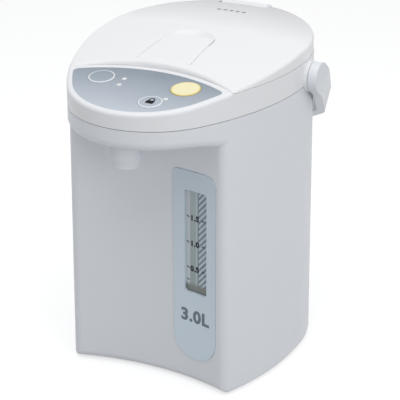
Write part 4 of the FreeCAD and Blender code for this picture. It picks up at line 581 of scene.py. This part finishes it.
class POT_OT_panel(bpy.types.Operator):
    """Finishes the panel film, the buttons and the lamps, and prints the padlock"""

    bl_idname = "pot.panel"
    bl_label = "Panel, buttons and lamps"

    def execute(self, context):
        look = context.scene.pot_panel
        paint(["panel_overlay"], panel_film(look))
        for label, middle, rim in (("reboil", None, look.rim), ("lock", None, look.rim),
                                   ("dispense", look.dispense, look.dispense_rim)):
            node = label + "_button"
            paint([node], ringed_button(label + "_face", node, look, middle, rim))
        lens = clear_finish("lamp_lens", look.lens, scale=300.0, depth=0.04, sheen=(0.25, 0.35),
                            clearness=0.15)
        paint(["indicator_lenses"], lens)
        self.print_padlock(look)
        return {"FINISHED"}

    def print_padlock(self, look):
        low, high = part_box("lock_button")
        centre_u = (low.x + high.x) / 2.0
        centre_v = ((low.y + high.y) / 2.0 - PANEL_ORIGIN.y) / math.cos(PANEL_SLOPE)
        ink = printed_ink("padlock_ink", look.mark)

        def place(u, v, out):
            return on_panel(centre_u + u, v, BUTTON_TOP + out)

        outlines = self.padlock_outlines(look.padlock, centre_v)
        for name, outline in zip(("padlock_body", "padlock_shackle"), outlines):
            mesh = prism_mesh(name, outline, place, 0.0, PADLOCK_INK)
            mesh_piece(name, mesh, ink, "lock")

    def padlock_outlines(self, width, centre_v):
        """The body with its round corners, and the shackle that stands on it."""
        half = width / 2.0
        tall = width * PADLOCK_TALL
        foot = centre_v - tall * PADLOCK_DROP
        head = foot + tall
        corner = half * PADLOCK_CORNER
        inset = half - corner
        corners = ((inset, head - corner), (-inset, head - corner), (-inset, foot + corner),
                   (inset, foot + corner))
        body = []
        for quarter, middle in enumerate(corners):
            body += arc_points(middle, corner, 90.0 * quarter, 90.0 * (quarter + 1), CORNER_STEPS)
        top = (0.0, head + half * SHACKLE_RISE)
        wide = half * SHACKLE_OUTER
        narrow = half * SHACKLE_INNER
        shackle = [(wide, head)] + arc_points(top, wide, 0.0, 180.0, SHACKLE_STEPS)
        shackle += [(-wide, head), (-narrow, head)]
        shackle += arc_points(top, narrow, 180.0, 0.0, SHACKLE_STEPS) + [(narrow, head)]
        return body, shackle


def gauge_cover_plastic(look):
    """Gauge cover, a little paler at its foot and faintly clouded."""
    finish = Finish("gauge_cover_plastic")
    rise = finish.span(finish.axis("Z"), *COVER_RISE)
    ground = finish.blend(rise, toned(look.cover, 1.12), look.cover)
    finish.colour(finish.blend(finish.cloud(22.0, share=0.12), ground, look.light_stripe))
    finish.sheen_range(0.30, 0.38)
    finish.bump(finish.noise(1300.0, detail=3.0), strength=0.08, distance=0.00005)
    return finish.material


def gauge_window_face(look):
    """Clear window with the gauge's strips seen through it."""
    finish = Finish("gauge_window_clear")
    x = finish.axis("X")
    z = finish.axis("Z")
    climb = finish.calculate("SUBTRACT", z, finish.calculate("MULTIPLY", x, STRIPE_SLOPE))
    turn = finish.calculate("MULTIPLY", climb, 2.0 * math.pi / look.stripe_pitch)
    wave = finish.span(finish.calculate("SINE", turn), -STRIPE_SOFTNESS, STRIPE_SOFTNESS)
    stripes = finish.blend(wave, look.stripe, look.light_stripe)
    fog = finish.cloud(180.0, share=0.25, edges=(0.35, 0.65))
    stripes = finish.blend(fog, stripes, look.strip)
    water = finish.blend(finish.span(z, *WATER_RISE), look.water, toned(look.water, 1.25))
    face = finish.blend(finish.span(x, *WATER_WAY_EDGE), look.strip, water)
    face = finish.blend(finish.band(x, *BRIGHT_LINE_EDGES), face, look.light_stripe)
    face = finish.blend(finish.span(x, *STRIPES_EDGE), face, stripes)
    face = finish.blend(finish.band(x, *DARK_LINE_EDGES), face, look.stripe)
    wander = finish.calculate("MULTIPLY", finish.noise(160.0), FOOT_RAGGEDNESS)
    ragged = finish.calculate("ADD", z, wander)
    finish.colour(finish.blend(finish.span(ragged, *FOOT_EDGE), face, look.foot))
    finish.sheen_range(0.12, 0.18)
    finish.set_shader("Coat Weight", 0.4)
    finish.set_shader("Coat Roughness", 0.08)
    return finish.material


class POT_OT_gauge(bpy.types.Operator):
    """Finishes the water gauge and prints its scale and the capacity"""

    bl_idname = "pot.gauge"
    bl_label = "Water gauge"

    def execute(self, context):
        look = context.scene.pot_gauge
        paint(["gauge_cover"], gauge_cover_plastic(look))
        paint(["gauge_window"], gauge_window_face(look))
        glass = clear_finish("gauge_glass", look.glass, scale=200.0, depth=0.03, sheen=(0.04, 0.09),
                             clearness=0.9)
        paint(["gauge_tube"], glass)
        paint(["gauge_backing"], moulded_plastic("gauge_backing_plastic", look.strip, roughness=0.5))
        self.print_scale(look)
        return {"FINISHED"}

    def print_scale(self, look):
        ink = printed_ink("scale_ink", look.ink)
        heavy = printed_ink("capacity_ink", look.capacity_ink)
        for index, words in enumerate(NUMBERS):
            z = LOWEST_NUMBER_Z + index * look.half_litre
            label = "mark_" + words.replace(".", "_")
            number = figures_mesh(label, words, look.number_height, NUMBER_X, z, WINDOW_FACE,
                                  NUMBER_WEIGHT)
            mesh_piece(label, number, ink, "pot")
            self.print_tick(label + "_tick", LEFT_TICK, z + LEFT_TICK.rise, ink)
            self.print_tick(label + "_right_tick", RIGHT_TICK, z + RIGHT_TICK.rise, ink)
        self.print_tick("mark_low_tick", LEFT_TICK, LOW_TICK_Z, ink)
        capacity = figures_mesh("mark_capacity", look.capacity, look.capacity_height,
                                CAPACITY_X, CAPACITY_Z, COVER_FACE, CAPACITY_WEIGHT)
        mesh_piece("mark_capacity", capacity, heavy, "pot")

    def print_tick(self, name, tick, z, ink):
        """A short dash that falls to the right."""
        end_x = tick.x + tick.length
        end_z = z + tick.fall
        outline = [(tick.x, z), (end_x, end_z), (end_x, end_z + TICK_THICK), (tick.x, z + TICK_THICK)]
        mesh = prism_mesh(name, outline, on_recess, WINDOW_FACE, WINDOW_FACE + 2.0 * INK_HALF)
        mesh_piece(name, mesh, ink, "pot")


class POT_OT_inside(bpy.types.Operator):
    """Finishes the vessel, heaters, pump, boards and small metal parts"""

    bl_idname = "pot.inside"
    bl_label = "Vessel and works"

    def execute(self, context):
        look = context.scene.pot_inside
        works = moulded_plastic("works_plastic", look.liner, roughness=0.52)
        paint(["pump_housing", "pump_cover", "impeller", "outlet_pipe"], works)
        paint(["inner_vessel"], brushed_metal("vessel_steel", look.lining, roughness=0.34))
        steel = brushed_metal("bright_steel", look.steel, roughness=0.26, across="X")
        paint(["base_screws", "lid_screws", "hinge_pin", "lever_pin", "handle_pivot_pins", "latch_spring",
               "latch_keeper", "thermistor", "valve_ball"], steel)
        paint(["bottom_heater"], brushed_metal("cast_heater", look.heater, roughness=0.48))
        paint(["pump_motor"], brushed_metal("motor_case", look.motor, roughness=0.38))
        paint(["transformer", "drive_rotor"], brushed_metal("pressed_iron", look.iron, roughness=0.55))
        paint(["inlet_pins"], brushed_metal("pin_brass", look.brass, roughness=0.25, across="X"))
        band = speckled("heater_band", look.band, scale=120.0, depth=0.15, sheen=(0.50, 0.65))
        paint(["band_heater"], band.material)
        ceramic = speckled("fuse_ceramic", look.ceramic, scale=300.0, depth=0.06, sheen=(0.5, 0.6))
        paint(["thermal_fuse"], ceramic.material)
        paint(["control_board", "power_board"], circuit_board("board_green", look.board))
        paint(["vessel_gasket", "lower_elbow", "pump_inlet_sleeve"], soft_rubber("silicone", look.rubber))
        return {"FINISHED"}


class POT_OT_underside(bpy.types.Operator):
    """Finishes the base plate, the feet and the inlet"""

    bl_idname = "pot.underside"
    bl_label = "Base and inlet"

    def execute(self, context):
        look = context.scene.pot_inside
        base = moulded_plastic("base_plastic", toned(look.liner, 0.9), roughness=0.5, grain=BASE_GRAIN)
        paint(["base_plate"], base)
        paint(["inlet_socket"], moulded_plastic("inlet_plastic", look.inlet, roughness=0.45))
        paint(["rubber_feet"], soft_rubber("foot_rubber", look.feet))
        return {"FINISHED"}


class POT_OT_stage(bpy.types.Operator):
    """Sets the floor, the lamps, the room light and the camera"""

    bl_idname = "pot.stage"
    bl_label = "Stage and camera"

    def execute(self, context):
        look = context.scene.pot_stage
        self.lay_floor(look)
        self.light_room(look)
        self.hang_lamp("top_lamp", TOP_LAMP_PLACE, TOP_LAMP_WIDTH, look.key)
        self.hang_lamp("front_lamp", FRONT_LAMP_PLACE, FRONT_LAMP_WIDTH, look.fill)
        self.aim_camera(context.scene, look)
        context.scene.view_settings.view_transform = "Standard"
        return {"FINISHED"}

    def aim_camera(self, scene, look):
        camera = bpy.data.cameras.new("photo_camera")
        camera.lens = look.lens
        camera.sensor_width = SENSOR_WIDTH
        seat = bpy.data.objects.new("photo_camera", camera)
        seat.location = (look.camera_x, look.camera_y, look.camera_z)
        seat.rotation_euler = (math.pi / 2.0 - look.pitch, 0.0, look.azimuth)
        scene.collection.objects.link(seat)
        scene.camera = seat

    def seen_directly(self, tree):
        """One for what the camera, a reflection or clear plastic shows, else nought."""
        path = tree.nodes.new("ShaderNodeLightPath")
        seen = path.outputs["Is Camera Ray"]
        for ray in ("Is Glossy Ray", "Is Transmission Ray"):
            either = tree.nodes.new("ShaderNodeMath")
            either.operation = "MAXIMUM"
            tree.links.new(seen, either.inputs[0])
            tree.links.new(path.outputs[ray], either.inputs[1])
            seen = either.outputs[0]
        return seen

    def lay_floor(self, look):
        mesh = bpy.data.meshes.new("studio_floor")
        corners = [(x * FLOOR_REACH, y * FLOOR_REACH, 0.0) for x, y in ((-1, -1), (1, -1), (1, 1), (-1, 1))]
        mesh.from_pydata(corners, [], [(0, 1, 2, 3)])
        floor = bpy.data.objects.new("studio_floor", mesh)
        bpy.context.scene.collection.objects.link(floor)
        mesh.materials.append(self.studio_paper(look))

    def studio_paper(self, look):
        """Matt floor that keeps the pot's shadow and glows only where it is seen."""
        paper = bpy.data.materials.new("studio_paper")
        paper.use_nodes = True
        tree = paper.node_tree
        tree.nodes.clear()
        matte = tree.nodes.new("ShaderNodeBsdfDiffuse")
        matte.inputs["Color"].default_value = (*look.floor, 1.0)
        glow = tree.nodes.new("ShaderNodeEmission")
        glow.inputs["Color"].default_value = WHITE
        scaled = tree.nodes.new("ShaderNodeMath")
        scaled.operation = "MULTIPLY"
        scaled.inputs[1].default_value = FLOOR_GLOW
        tree.links.new(self.seen_directly(tree), scaled.inputs[0])
        tree.links.new(scaled.outputs[0], glow.inputs["Strength"])
        both = tree.nodes.new("ShaderNodeAddShader")
        out = tree.nodes.new("ShaderNodeOutputMaterial")
        tree.links.new(matte.outputs[0], both.inputs[0])
        tree.links.new(glow.outputs[0], both.inputs[1])
        tree.links.new(both.outputs[0], out.inputs["Surface"])
        return paper

    def light_room(self, look):
        """Even light on the pot, with plain white where the room itself is seen."""
        world = bpy.data.worlds.new("studio_room")
        bpy.context.scene.world = world
        world.use_nodes = True
        tree = world.node_tree
        tree.nodes.clear()
        mix = tree.nodes.new("ShaderNodeMixShader")
        tree.links.new(self.seen_directly(tree), mix.inputs[0])
        lights = (((*look.room, 1.0), look.sky), (WHITE, 1.0))
        for index, (tint, strength) in enumerate(lights, start=1):
            room = tree.nodes.new("ShaderNodeBackground")
            room.inputs["Color"].default_value = tint
            room.inputs["Strength"].default_value = strength
            tree.links.new(room.outputs[0], mix.inputs[index])
        out = tree.nodes.new("ShaderNodeOutputWorld")
        tree.links.new(mix.outputs[0], out.inputs["Surface"])

    def hang_lamp(self, name, place, width, power):
        light = bpy.data.lights.new(name, "AREA")
        light.shape = "DISK"
        light.size = width
        light.energy = power
        lamp = bpy.data.objects.new(name, light)
        lamp.location = place
        aim = Vector(LAMP_AIM) - Vector(place)
        lamp.rotation_euler = aim.to_track_quat("-Z", "Y").to_euler()
        bpy.context.scene.collection.objects.link(lamp)


STEPS = (POT_OT_stage, POT_OT_casing, POT_OT_lid, POT_OT_panel, POT_OT_gauge, POT_OT_inside,
         POT_OT_underside)
LOOKS = {"pot_body": BodyLook, "pot_panel": PanelLook, "pot_gauge": GaugeLook, "pot_inside": InsideLook,
         "pot_stage": StageLook}


class POT_PT_sidebar(bpy.types.Panel):
    """Lists the pot's finishing steps"""

    bl_label = "Thermo Pot"
    bl_idname = "POT_PT_sidebar"
    bl_space_type = "VIEW_3D"
    bl_region_type = "UI"
    bl_category = "Thermo Pot"

    def draw(self, context):
        for step in STEPS:
            self.layout.operator(step.bl_idname)
        for name, look in LOOKS.items():
            column = self.layout.column()
            column.label(text=look.__name__)
            for key in look.__annotations__:
                column.prop(getattr(context.scene, name), key)


def register():
    for look in LOOKS.values():
        bpy.utils.register_class(look)
    for step in STEPS:
        bpy.utils.register_class(step)
    bpy.utils.register_class(POT_PT_sidebar)
    for name, look in LOOKS.items():
        setattr(bpy.types.Scene, name, PointerProperty(type=look))


def unregister():
    for name in LOOKS:
        delattr(bpy.types.Scene, name)
    bpy.utils.unregister_class(POT_PT_sidebar)
    for step in reversed(STEPS):
        bpy.utils.unregister_class(step)
    for look in reversed(list(LOOKS.values())):
        bpy.utils.unregister_class(look)


def main():
    register()
    bpy.ops.pot.stage()
    bpy.ops.pot.casing()
    bpy.ops.pot.lid()
    bpy.ops.pot.panel()
    bpy.ops.pot.gauge()
    bpy.ops.pot.inside()
    bpy.ops.pot.underside()


if __name__ == "__main__":
    main()
